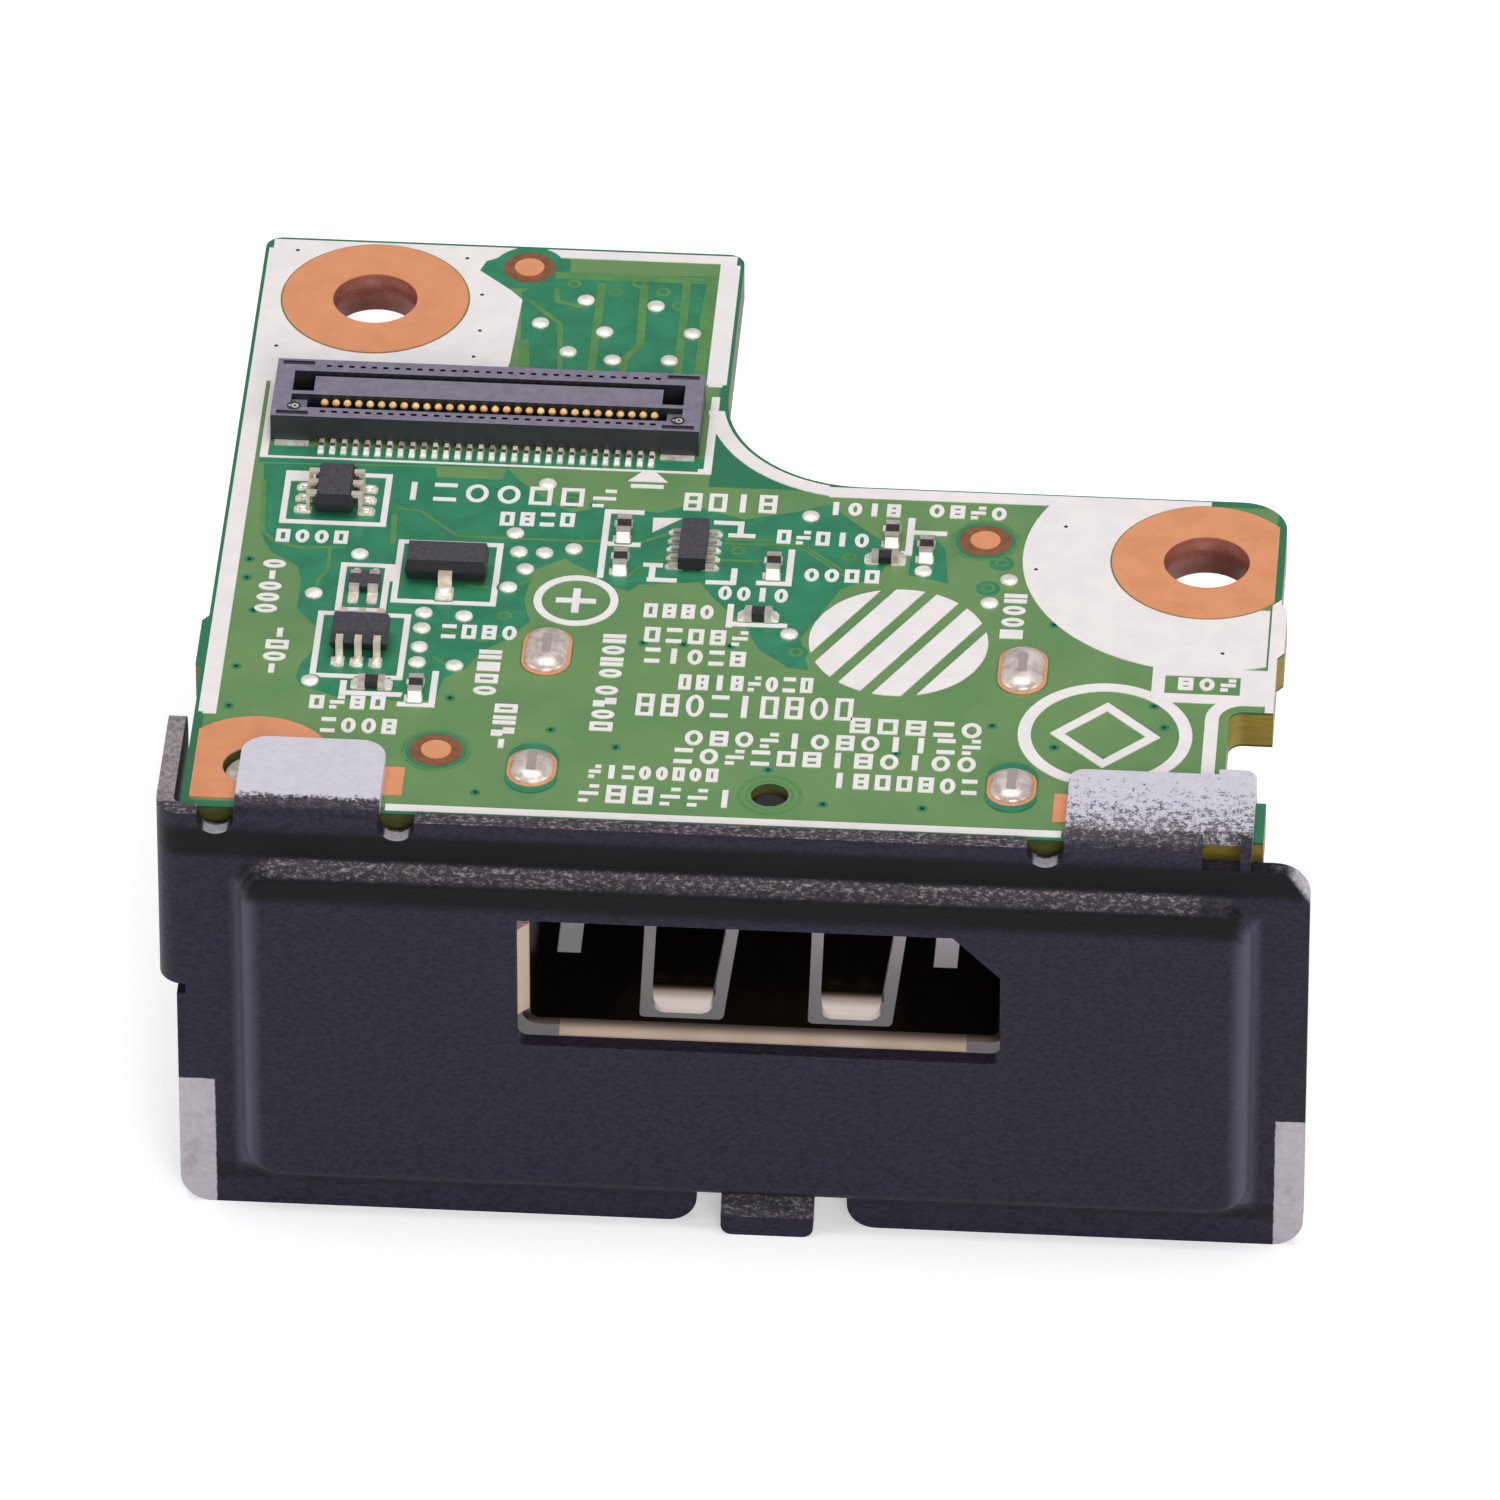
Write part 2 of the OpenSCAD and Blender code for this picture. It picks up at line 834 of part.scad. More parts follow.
module face_outline() {
    x_in = x_flange + bend_out;
    difference() {
        union() {
            translate([x_face, z_foot])
                square([face_w, face_drop + right_rise]);
            // Higher up to the right tab
            translate([x_in, z_foot])
                square([right_tab_x0 - x_in, face_drop + face_rise]);
        }
        // Clear of the side flange's bend
        translate([x_face - 1, -flange_drop - 0.4])
            square([x_in - x_face + 1, flange_drop + 2]);
        // Under each tab, where its own bend takes over
        translate([left_tab_x0, relief_low])
            square([left_tab_w, 2]);
        translate([right_tab_x0, relief_low])
            square([right_tab_w, 2]);
        relief_notches();
        translate([x_face_end, right_rise])
            corner_cut(face_corner_r, 0);
        translate([x_face_end, z_foot])
            rotate(-90)
                corner_cut(foot_corner_r, 0);
        translate([x_face, z_foot])
            rotate(180)
                corner_cut(foot_corner_r, 0);
        hook_gaps();
        hook_room();
    }
}

module relief_notches() {
    for (x = [left_tab_x0 - relief_d / 2, left_tab_x0 + left_tab_w + relief_d / 2,
            right_tab_x0 - relief_d / 2])
        translate([x, relief_low + relief_d / 2]) {
            circle(d = relief_d);
            translate([-relief_d / 2, 0])
                square([relief_d, 2]);
        }
}

// The slot on each side of the hook, with a round shoulder beside it
module hook_gaps() {
    for (side = [-1, 1])
        translate([x_face + hook_x, z_foot])
            scale([side, 1]) {
                gap = side > 0 ? hook_gap_right : hook_gap_left;
                translate([hook_w / 2, -1])
                    square([gap, hook_up + 1]);
                translate([hook_w / 2 + gap, 0])
                    rotate(180)
                        corner_cut(hook_shoulder_r, 0);
            }
}

// The part of the face that the hook takes the place of
module hook_room() {
    translate([x_face + hook_x - hook_w / 2, z_foot - 1])
        square([hook_w, hook_up + 1]);
}

// Side view of the hook: y to the right, z up
module hook_side() {
    top = z_foot + hook_up;
    mid = top - hook_jog;
    polygon([
        [y_face, top], [y_face + sheet_t, top], [y_face + sheet_t, top - 0.25],
        [y_face - hook_jog + sheet_t, mid - 0.25], [y_face - hook_jog + sheet_t, z_foot],
        [y_face - hook_jog, z_foot], [y_face - hook_jog, mid]]);
}

module hook() {
    x_hook = x_face + hook_x;
    intersection() {
        along_x(x_hook - hook_w / 2, hook_w)
            hook_side();
        wall_at(y_face - hook_jog - 1, 3)
            difference() {
                translate([x_hook - hook_w / 2, z_foot])
                    square([hook_w, hook_up]);
                translate([x_hook + hook_w / 2, z_foot])
                    rotate(-90)
                        corner_cut(hook_corner_r, 0);
                translate([x_hook - hook_w / 2, z_foot])
                    rotate(180)
                        corner_cut(hook_corner_r, 0);
            }
    }
}

// Section of the panel's sloping edge: an S of two equal arcs, foot at x = panel_slope.
// It laps a little into the flat form beside it.
module slope_section() {
    lap = 0.05;
    turn = 2 * atan(panel_h / panel_slope);
    r = panel_slope / (2 * sin(turn));
    difference() {
        union() {
            polygon([
                [-lap, 0], [panel_slope, 0], [panel_slope / 2, panel_h / 2], [0, panel_h],
                [-lap, panel_h]]);
            intersection() {
                translate([0, panel_h - r])
                    circle(r);
                translate([0, panel_h / 2])
                    square([panel_slope / 2, panel_h / 2]);
            }
        }
        translate([panel_slope, r])
            circle(r);
    }
}

// The raised form, standing on the plane y and drawn in by a margin
module panel_form(y, inset) {
    r = panel_corner_r - panel_slope;
    x0 = x_face + panel_side + panel_slope + inset + r;
    x1 = x_face_end - panel_side + 0.35 - panel_slope - inset - r;
    z0 = z_foot + panel_low + panel_slope + inset + r;
    z1 = -panel_top - panel_slope - inset - r;
    translate([0, y, 0])
        rotate([90, 0, 0]) {
            translate([x0 - r, z0, 0])
                cube([x1 - x0 + 2 * r, z1 - z0, panel_h]);
            translate([x0, z0 - r, 0])
                cube([x1 - x0, z1 - z0 + 2 * r, panel_h]);
            for (x = [x0, x1])
                for (z = [z0, z1])
                    translate([x, z, 0])
                        rotate_extrude() {
                            square([r, panel_h]);
                            translate([r, 0])
                                slope_section();
                        }
            // Straight edges: below, right, above, left
            panel_edge([x0, z0 - r], -90, x1 - x0);
            panel_edge([x1 + r, z0], 0, z1 - z0);
            panel_edge([x1, z1 + r], 90, x1 - x0);
            panel_edge([x0 - r, z1], 180, z1 - z0);
        }
}

// One straight edge of the panel: it slopes away towards the turned +x
module panel_edge(p, turn, l) {
    translate([p[0], p[1], 0])
        rotate([0, 0, turn])
            translate([0, l, 0])
                rotate([90, 0, 0])
                    linear_extrude(l)
                        slope_section();
}

module port_window() {
    x0 = x_port - cavity_w / 2 - opening_left;
    x1 = x_port + cavity_w / 2 + opening_right;
    z0 = z_floor - opening_down;
    z1 = z_roof + opening_up;
    difference() {
        translate([x0, z0])
            square([x1 - x0, z1 - z0]);
        translate([x1, z1])
            rotate(45)
                square(cavity_bevel * sqrt(2), center = true);
        translate([x0, z0])
            rotate(180)
                corner_cut(0.35, 0);
        translate([x1, z0])
            rotate(-90)
                corner_cut(0.35, 0);
    }
}

module tab_plan(x0, w, y_end) {
    difference() {
        translate([x0, y_face])
            square([w, y_end - y_face]);
        translate([x0 + w, y_end])
            corner_cut(tab_corner_r, 0);
        translate([x0, y_end])
            rotate(90)
                corner_cut(tab_corner_r, 0);
    }
}

module left_tab() {
    intersection() {
        along_x(left_tab_x0, left_tab_w)
            tab_side(y_tab);
        translate([0, 0, -2])
            linear_extrude(4)
                tab_plan(left_tab_x0, left_tab_w, y_tab);
    }
}

module right_tab() {
    x_window = right_tab_x1 - window_strip - window_w;
    x_lug = right_tab_x1 - lug_l;
    y_lug = y_notch + lug_clear;
    y_rear = y_tab + lug_extra;
    difference() {
        intersection() {
            along_x(right_tab_x0, right_tab_w)
                tab_side(y_rear);
            translate([0, 0, -2])
                linear_extrude(4)
                    difference() {
                        translate([right_tab_x0, y_face])
                            square([right_tab_w, y_rear - y_face]);
                        // The far edge is longer only beside the lug
                        translate([right_tab_x0 - 1, y_tab])
                            square([right_tab_w - lug_l + 1, 1]);
                        translate([right_tab_x0, y_tab])
                            rotate(90)
                                corner_cut(tab_corner_r * 0.6, 0);
                        // The lug takes over at the right
                        translate([x_lug, y_lug])
                            square([2, 3]);
                    }
        }
        translate([x_window, y_face - 1, right_rise])
            cube([window_w, bend_out + 1 + 0.1, 3]);
    }
    // The lug turns down into the board's notch
    translate([0, y_rear, 0])
        rotate([90, 0, 0])
            linear_extrude(y_rear - y_lug)
                lug_side(x_lug);
}

// Front view of the lug: x to the right, z up
module lug_side(x_lug) {
    difference() {
        union() {
            translate([x_lug, tab_z])
                square([right_tab_x1 - x_lug, sheet_t]);
            translate([right_tab_x1 - sheet_t, -lug_drop])
                square([sheet_t, lug_drop + tab_z + sheet_t]);
        }
        translate([right_tab_x1, tab_z + sheet_t])
            corner_cut(lug_corner_r, 0);
    }
}

module side_flange() {
    centre = [x_flange + bend_out, y_face + bend_out];
    y_end = y_face + flange_l;
    h = flange_drop + face_rise;
    difference() {
        translate([0, 0, -flange_drop])
            linear_extrude(h) {
                translate(centre)
                    rotate(180)
                        quarter_ring(bend_out, bend_r);
                translate([x_flange, centre[1]])
                    square([sheet_t, y_end - centre[1]]);
            }
        // Round far corners
        rotate([90, 0, 90])
            translate([0, 0, x_flange - 1])
                linear_extrude(sheet_t + 2) {
                    translate([y_end, face_rise])
                        corner_cut(0.9, 0);
                    translate([y_end, -flange_drop])
                        rotate(-90)
                            corner_cut(1, 0);
                }
    }
}

module mounting_bracket() {
    color(black_tone)
        difference() {
            union() {
                difference() {
                    union() {
                        wall_at(y_face, sheet_t)
                            face_outline();
                        panel_form(y_face, 0);
                    }
                    panel_form(y_back, sheet_t * 0.6);
                    wall_at(y_panel - 1, panel_h + sheet_t + 2)
                        hook_gaps();
                }
                left_tab();
                right_tab();
                side_flange();
                hook();
            }
            wall_at(y_panel - 1, panel_h + sheet_t + 2)
                port_window();
        }
}

// Port

module cavity_outline(grow) {
    x0 = x_port - cavity_w / 2 - grow;
    x1 = x_port + cavity_w / 2 + grow;
    z0 = z_floor - grow;
    z1 = z_roof + grow;
    bevel = cavity_bevel + grow * 0.59;
    difference() {
        polygon([[x0, z0], [x1, z0], [x1, z1 - bevel], [x1 - bevel, z1], [x0, z1]]);
        translate([x0, z0])
            rotate(180)
                corner_cut(0.3 + grow, 0);
        translate([x1, z0])
            rotate(-90)
                corner_cut(0.3 + grow, 0);
        translate([x0, z1])
            rotate(90)
                corner_cut(0.3 + grow, 0);
    }
}

// Side view of a lip that flares outwards, foot at the origin, drawn towards -y
module lip_side() {
    polygon([[0, 0], [-lip_l, -lip_flare], [-lip_l, -lip_flare - shell_t], [0, -shell_t]]);
}

module shell_lips() {
    lip_half = 7;
    side_low = 0.4;
    side_high = 0.77;
    // Bottom
    along_x(x_port - 0.05 - lip_half, 2 * lip_half)
        translate([y_shell, z_floor])
            lip_side();
    // Top
    along_x(x_port - lip_half, 2 * lip_half - cavity_bevel)
        translate([y_shell, z_roof])
            mirror([0, 1])
                lip_side();
    // Left and right
    for (side = [-1, 1])
        translate([x_port + side * cavity_w / 2, 0, z_floor + side_low])
            linear_extrude(cavity_h - side_low - side_high - (side > 0 ? 1 : 0))
                scale([side, 1])
                    translate([0, y_shell])
                        polygon([
                            [0, 0], [lip_flare, -lip_l], [lip_flare + shell_t, -lip_l],
                            [shell_t, 0]]);
}

module finger_plan(tip_w, root_w, front, back) {
    polygon([
        [-tip_w / 2, front], [tip_w / 2, front], [root_w / 2, back], [-root_w / 2, back]]);
}

module round_front_plan(tip_w, root_w, front, back, r) {
    difference() {
        finger_plan(tip_w, root_w, front, back);
        for (side = [-1, 1])
            scale([side, 1])
                translate([tip_w / 2, front])
                    rotate(-90)
                        corner_cut(r, 0);
    }
}

module finger_places() {
    for (side = [-1, 1])
        translate([x_port + side * finger_offset, y_mouth, 0])
            children();
}

// Side view of a contact finger: it slopes into the cavity and curls down at its tip
module finger_side() {
    tip = finger_front;
    bump = tip + 0.85;
    root = tip + finger_l;
    r = 0.55;
    z_bump = finger_rise - r;
    difference() {
        union() {
            polygon([
                [root, 0], [bump + 0.25, finger_rise], [bump + 0.25, finger_rise - shell_t],
                [root, -shell_t]]);
            translate([bump, z_bump + 0.02])
                circle(r);
            polygon([
                [bump - 0.35, finger_rise - 0.12], [tip, 0.1], [tip, -0.15],
                [bump - 0.35, finger_rise - 0.55]]);
        }
        translate([bump, z_bump + 0.02])
            circle(r - shell_t);
        translate([bump - 1, z_bump - 1.1])
            square([2, 1]);
    }
}

module port_shell() {
    color(steel_tone) {
        difference() {
            union() {
                wall_at(y_shell, shell_l - lip_l)
                    difference() {
                        cavity_outline(shell_t);
                        cavity_outline(0);
                    }
                shell_ears();
            }
            // Round each finger
            finger_places()
                translate([0, 0, z_floor - shell_t - 0.1])
                    linear_extrude(shell_t + 0.2)
                        round_front_plan(
                            finger_tip_w + 2 * finger_gap, finger_root_w + 2 * finger_gap,
                            finger_front - finger_front_gap, finger_front + finger_l,
                            finger_slot_r);
            shell_vents();
        }
        finger_places()
            intersection() {
                along_x(-finger_root_w, 2 * finger_root_w)
                    translate([0, z_floor])
                        finger_side();
                translate([0, 0, z_floor - 1])
                    linear_extrude(2)
                        round_front_plan(
                            finger_tip_w, finger_root_w, finger_front,
                            finger_front + finger_l + 0.01, finger_tip_r);
            }
        shell_lips();
    }
}

// Small windows in the floor, one near each side
module shell_vents() {
    for (dx = [-7.03, 5.98])
        translate([x_port + dx - vent_w / 2, vent_y, z_floor - shell_t - 0.1])
            cube([vent_w, vent_l, shell_t + 0.2]);
}

// Each leg: a broad ear up to the board, and a narrow pin through it
module shell_ears() {
    z_low = z_roof - cavity_bevel - 0.6;
    for (side = [-1, 1])
        for (y = leg_ys)
            translate([x_port + side * wall_x, y, 0]) {
                translate([-shell_t / 2, -ear_w / 2, z_low])
                    cube([shell_t, ear_w, -board_t - copper_t - z_low]);
                translate([-shell_t / 2, -leg_w / 2, -board_t - copper_t - 0.1])
                    cube([shell_t, leg_w, board_t + copper_t + 0.1 + leg_up]);
            }
}

function pin_x(i, row) =
    x_port + (i - (port_pins - 1) / 2) * port_pitch + (row - 0.5) * port_pitch / 2;

// Side view of a contact: along the tongue, through the block and up to the board
module contact_side(row) {
    z = row == 1 ? z_tongue + tongue_t / 2 : z_tongue - tongue_t / 2 - contact_t;
    y_up = y_block + (row == 1 ? 0 : tail_step);
    y0 = y_tongue + 0.35;
    z_top = -board_t - copper_t;
    translate([y0, z])
        square([y_up + contact_t - y0, contact_t]);
    translate([y_up, z])
        square([contact_t, z_top - z]);
    translate([y_up, z_top - contact_t])
        square([foot_l, contact_t]);
}

module port_contacts(row) {
    color(gold_tone)
        for (i = [0 : port_pins - 1])
            along_x(pin_x(i, row) - contact_w / 2, contact_w)
                contact_side(row);
}

module port_insulator() {
    fit = 0.02;
    z_top = -board_t;
    x_riser = cavity_w / 2 - riser_side;
    color([0.12, 0.12, 0.13])
        difference() {
            union() {
                // Tongue, with a bevelled tip
                translate([x_port - tongue_w / 2, 0, 0])
                    rotate([90, 0, 90])
                        linear_extrude(tongue_w)
                            polygon([
                                [y_tongue, z_tongue - tongue_t / 2 + 0.3],
                                [y_tongue + 0.3, z_tongue - tongue_t / 2],
                                [y_body + 0.1, z_tongue - tongue_t / 2],
                                [y_body + 0.1, z_tongue + tongue_t / 2],
                                [y_tongue + 0.3, z_tongue + tongue_t / 2],
                                [y_tongue, z_tongue + tongue_t / 2 - 0.3]]);
                // Block that closes the shell
                wall_at(y_body, y_shell_end - y_body)
                    cavity_outline(-fit);
                // Rear block, up to the board
                translate([x_port - x_riser, y_shell_end, z_floor])
                    cube([2 * x_riser, block_l, z_top - z_floor - copper_t]);
                // Riser between the shell and the board
                translate([x_port - x_riser, riser_front, z_roof + shell_t + fit])
                    cube([
                        2 * x_riser, y_block - riser_front,
                        z_top - copper_t - z_roof - shell_t - fit]);
                // Locating peg
                translate([x_port, peg_hole_y, z_top - copper_t - 0.1])
                    cylinder(h = board_t + copper_t - 0.25, d = peg_d);
            }
            for (row = [0, 1])
                for (i = [0 : port_pins - 1])
                    contact_slot(i, row, fit);
        }
}

// Room for one contact through the block
module contact_slot(i, row, fit) {
    z = row == 1 ? z_tongue + tongue_t / 2 : z_tongue - tongue_t / 2 - contact_t;
    translate([pin_x(i, row) - contact_w / 2 - fit, y_body - 0.5, z])
        cube([contact_w + 2 * fit, y_block - y_body + 1, contact_t]);
}

// Solder over an oblong land: part of a cylinder along y with a round cap at each end
module solder_ridge(r, reach) {
    rotate([90, 0, 0])
        cylinder(h = 2 * reach, r = r, center = true);
    for (side = [-1, 1])
        translate([0, side * reach, 0])
            sphere(r);
}

module shell_solder_joints() {
    dome_w = leg_ring_d - 0.2;
    dome_h = 0.34;
    reach = (leg_pad_l - leg_ring_d) / 2;
    r = (dome_w * dome_w / 4 + dome_h * dome_h) / (2 * dome_h);
    color(solder_tone)
        leg_places()
            difference() {
                union() {
                    intersection() {
                        translate([0, 0, copper_t + dome_h - r])
                            solder_ridge(r, reach);
                        translate([-leg_ring_d, -leg_pad_l, copper_t])
                            cube([2 * leg_ring_d, 2 * leg_pad_l, dome_h + 1]);
                    }
                    translate([0, 0, -board_t])
                        cylinder(h = board_t + copper_t + 0.01, d = leg_hole_d);
                }
                translate([-shell_t / 2, -leg_w / 2, -board_t - 1])
                    cube([shell_t, leg_w, board_t + 1 + leg_up]);
            }
}

// Board connector

module board_connector_housing() {
    near_slot_w = plug_w - rim_w - island_w - far_slot_w - far_rim_w;
    y_island = rim_w + near_slot_w;
    y_far_slot = y_island + island_w;
    well = plug_h - plug_floor_t;
    island_end = pocket_end + pocket_l;
    pins_l = plug_pitch * (plug_pins - 1) + 2 * pin_w;
    x_pins = plug_pin_x0 - plug_x0 - pin_w;
    color(lavender_tone)
        translate([plug_x0, plug_y0, 0])
            difference() {
                translate([0, 0, solder_t])
                    cube([plug_l, plug_w, plug_h - solder_t]);
                // Slots on both sides of the island
                translate([island_end - 0.2, rim_w, plug_floor_t])
                    cube([plug_l - 2 * island_end + 0.4, near_slot_w, well + 1]);
                translate([island_end - 0.2, y_far_slot, plug_floor_t])
                    cube([plug_l - 2 * island_end + 0.4, far_slot_w, well + 1]);
                // Deep pocket at each end
                for (x = [pocket_end, plug_l - pocket_end - pocket_l])
                    translate([x, y_island + 0.2, plug_floor_t])
                        cube([pocket_l, island_w + far_slot_w - 0.2, well + 1]);
                // Shallow recess in front of each pocket
                for (x = [pocket_end, plug_l - pocket_end - pocket_l])
                    translate([x, rim_w, plug_h - 0.25])
                        cube([pocket_l, near_slot_w, 1]);
                // Room for the contacts under the long walls
                translate([x_pins - 0.1, -1, -1])
                    cube([pins_l + 0.2, plug_w + 2, 1 + plug_lift]);
                contact_wells(y_island, y_far_slot, x_pins, pins_l);
                hold_down_slots(0.01);
            }
}

// The contacts rise through a slit at the foot of each slot
module contact_wells(y_island, y_far_slot, x_pins, pins_l) {
    translate([x_pins - 0.1, y_island - 0.26, 0])
        cube([pins_l + 0.2, 0.26, plug_floor_t + 0.01]);
    translate([x_pins - 0.1, y_far_slot, 0])
        cube([pins_l + 0.2, 0.2, plug_floor_t + 0.01]);
}

module hold_down_slots(fit) {
    for (x = [0.2, plug_l - 1.3])
        for (y = [0.12, plug_w - 0.12 - 0.2])
            translate([x - fit, y - fit, -0.01])
                cube([1.1 + 2 * fit, 0.2 + 2 * fit, plug_h + 1]);
}

module board_connector_hold_downs() {
    color(steel_tone)
        translate([plug_x0, plug_y0, 0])
            for (x = [0.2, plug_l - 1.3]) {
                for (y = [0.12, plug_w - 0.12 - 0.2])
                    translate([x, y, solder_t])
                        cube([1.1, 0.2, plug_h - 0.06 - solder_t]);
            }
}

// Side view of a contact in the near row: foot, run under the wall and spring
module plug_contact_side(y_foot, y_spring, spring_t, spring_h) {
    translate([min(y_foot, y_spring), solder_t])
        square([abs(y_spring - y_foot) + (y_spring > y_foot ? spring_t : 0), pin_t]);
    translate([y_spring, solder_t])
        square([spring_t, spring_h - solder_t - spring_t / 2]);
    translate([y_spring + spring_t / 2, spring_h - spring_t / 2])
        circle(spring_t / 2);
}

module plug_contacts(y_foot, y_spring, spring_t) {
    color(gold_tone)
        for (i = [0 : plug_pins - 1])
            along_x(plug_pin_x0 + i * plug_pitch - pin_w / 2, pin_w)
                plug_contact_side(y_foot, y_spring, spring_t, plug_h - 0.17);
}

module board_connector_near_contacts() {
    plug_contacts(plug_y0 - pin_foot, plug_y1 - far_rim_w - far_slot_w - island_w - 0.22, 0.2);
}

module board_connector_far_contacts() {
    plug_contacts(plug_y1 + pin_foot, plug_y1 - far_rim_w - far_slot_w + 0.02, 0.16);
}

// Small parts

module at_part(p, turn) {
    translate(concat(on_board(p), [0]))
        rotate(turn)
            children();
}

// Moulded body with sloping sides, on the origin, standing clear of the board
module moulded_body(l, w, h, side_draft) {
    foot = solder_t + 0.1;
    draft = 0.08;
    mid = foot + (h - foot) * 0.45;
    hull() {
        translate([-l / 2 + side_draft, -w / 2 + draft, foot])
            cube([l - 2 * side_draft, w - 2 * draft, 0.01]);
        translate([-l / 2, -w / 2, mid])
            cube([l, w, 0.06]);
        translate([-l / 2 + side_draft, -w / 2 + draft, h - 0.01])
            cube([l - 2 * side_draft, w - 2 * draft, 0.01]);
    }
}

// Side view of a gull-wing lead that leaves a body at the origin towards +x
module gull_side(z_exit, reach) {
    translate([-lead_root, z_exit])
        square([reach * 0.45 + lead_root, lead_t]);
    translate([reach * 0.45 - lead_t, solder_t])
        square([lead_t, z_exit + lead_t - solder_t]);
    translate([reach * 0.45 - lead_t, solder_t])
        square([reach * 0.55 + lead_t, lead_t]);
}

module gull_lead(edge, z_exit, reach, w) {
    translate([edge, w / 2, 0])
        rotate([90, 0, 0])
            linear_extrude(w)
                gull_side(z_exit, reach);
}

// Six leads, three on each side in x
module twin_leads() {
    z_exit = twin_h - 0.24;
    for (side = [0, 180])
        rotate(side)
            for (i = [-1 : 1])
                translate([0, i * twin_pitch, 0])
                    gull_lead(twin_w / 2, z_exit, lead_reach + 0.05, twin_lead_w);
}

module twin_body() {
    difference() {
        moulded_body(twin_w, twin_l, twin_h, twin_draft);
        twin_leads();
    }
}

module transistor_lead_set() {
    z_exit = solder_t + 0.1 + (transistor_h - solder_t - 0.1) * 0.45 - 0.03;
    rotate(-90)
        gull_lead(transistor_w / 2, z_exit, lead_reach + 0.2, transistor_lead_w);
    for (x = [-transistor_span / 2, transistor_span / 2])
        translate([x, 0, 0])
            rotate(90)
                gull_lead(transistor_w / 2, z_exit, lead_reach + 0.2, transistor_lead_w);
}

module array_terminals() {
    for (side = [-1, 1])
        for (i = [0 : array_pins - 1])
            translate([
                side > 0 ? array_w / 2 - 0.2 : -array_w / 2 - array_lead_l,
                (i - 2) * array_pitch - 0.1, solder_t])
                cube([array_lead_l + 0.2, 0.2, 0.13]);
}

module array_body() {
    difference() {
        translate([-array_w / 2, -array_l / 2, solder_t + 0.02])
            cube([array_w, array_l, array_h]);
        array_terminals();
    }
}

module network_terminals() {
    for (sx = [-1, 1])
        for (sy = [-1, 1])
            translate([
                sx * network_pin_x - network_pin_w / 2,
                sy > 0 ? network_s / 2 - 0.2 : -network_s / 2, solder_t])
                cube([network_pin_w, 0.2, network_h]);
}

module network_body() {
    difference() {
        translate([-network_s / 2 - 0.04, -network_s / 2 + 0.03, solder_t + 0.02])
            cube([network_s + 0.08, network_s - 0.06, network_h - 0.04]);
        network_terminals();
    }
}

module chip_at(i) {
    at_part([CHIP_PLACES[i][0], CHIP_PLACES[i][1]], CHIP_PLACES[i][2] * 90)
        children();
}

module chip_core(h) {
    translate([-chip_l / 2 + cap_t, -chip_w / 2 + cap_t, solder_t + cap_t])
        cube([chip_l - 2 * cap_t, chip_w - 2 * cap_t, h]);
}

module chip_body(i) {
    color([0.16, 0.16, 0.17])
        chip_at(i)
            chip_core(CHIP_PLACES[i][3]);
}

module chip_caps(i) {
    color(solder_tone)
        chip_at(i)
            difference() {
                for (x = [-chip_l / 2, chip_l / 2 - cap_l])
                    translate([x, -chip_w / 2, solder_t])
                        cube([cap_l, chip_w, CHIP_PLACES[i][3] + 2 * cap_t]);
                chip_core(CHIP_PLACES[i][3]);
            }
}

// Solder under the terminals: pads in plan, grown by a margin
module pad(w, d, grow) {
    translate([-w / 2 - grow, -d / 2 - grow])
        round_rect(w + 2 * grow, d + 2 * grow, 0.09 + grow);
}

module solder_pads_2d(grow) {
    for (i = [0 : CHIPS - 1])
        translate(on_board([CHIP_PLACES[i][0], CHIP_PLACES[i][1]]))
            rotate(CHIP_PLACES[i][2] * 90)
                for (x = [-chip_pad_x, chip_pad_x])
                    translate([x, 0])
                        pad(chip_pad_l, chip_w + 0.04, grow);
    translate(on_board(twin_a))
        twin_pads(grow);
    translate(on_board(twin_b))
        rotate(90)
            twin_pads(grow);
    translate(on_board(transistor)) {
        translate([0, -transistor_w / 2 - 0.55])
            pad(transistor_lead_w + 0.14, 0.8, grow);
        for (x = [-transistor_span / 2, transistor_span / 2])
            translate([x, transistor_w / 2 + 0.55])
                pad(transistor_lead_w + 0.15, 0.8, grow);
    }
    translate(on_board(array))
        for (side = [-1, 1])
            for (i = [0 : array_pins - 1])
                translate([side * (array_w / 2 + 0.145), (i - 2) * array_pitch])
                    pad(0.65, 0.24, grow);
    translate(on_board(network))
        for (sx = [-1, 1])
            translate([sx * network_pin_x, 0]) {
                translate([0, network_s / 2 + 0.05])
                    pad(network_pin_w, 0.55, grow);
                translate([0, -network_s / 2 - 0.25])
                    pad(network_pin_w, 0.8, grow);
            }
}

module twin_pads(grow) {
    for (side = [-1, 1])
        for (i = [-1 : 1])
            translate([side * (twin_w / 2 + 0.36), i * twin_pitch])
                pad(0.62, twin_lead_w + 0.12, grow);
}

module component_solder() {
    color(solder_tone)
        union() {
            linear_extrude(solder_t) {
                solder_pads_2d(0);
                connector_pads();
            }
            for (i = [0 : CHIPS - 1])
                chip_at(i)
                    chip_fillets(CHIP_PLACES[i][3]);
        }
}

// Solder drawn up the ends of a chip
module chip_fillets(h) {
    l = chip_pad_x + chip_pad_l / 2 - chip_l / 2 - 0.03;
    w = chip_w - 0.06;
    for (side = [-1, 1])
        scale([side, 1, 1])
            translate([chip_l / 2, w / 2, 0])
                rotate([90, 0, 0])
                    linear_extrude(w)
                        polygon([
                            [0, 0], [l, 0], [l, solder_t], [l * 0.45, solder_t + h * 0.22],
                            [0, solder_t + h * 0.85]]);
}

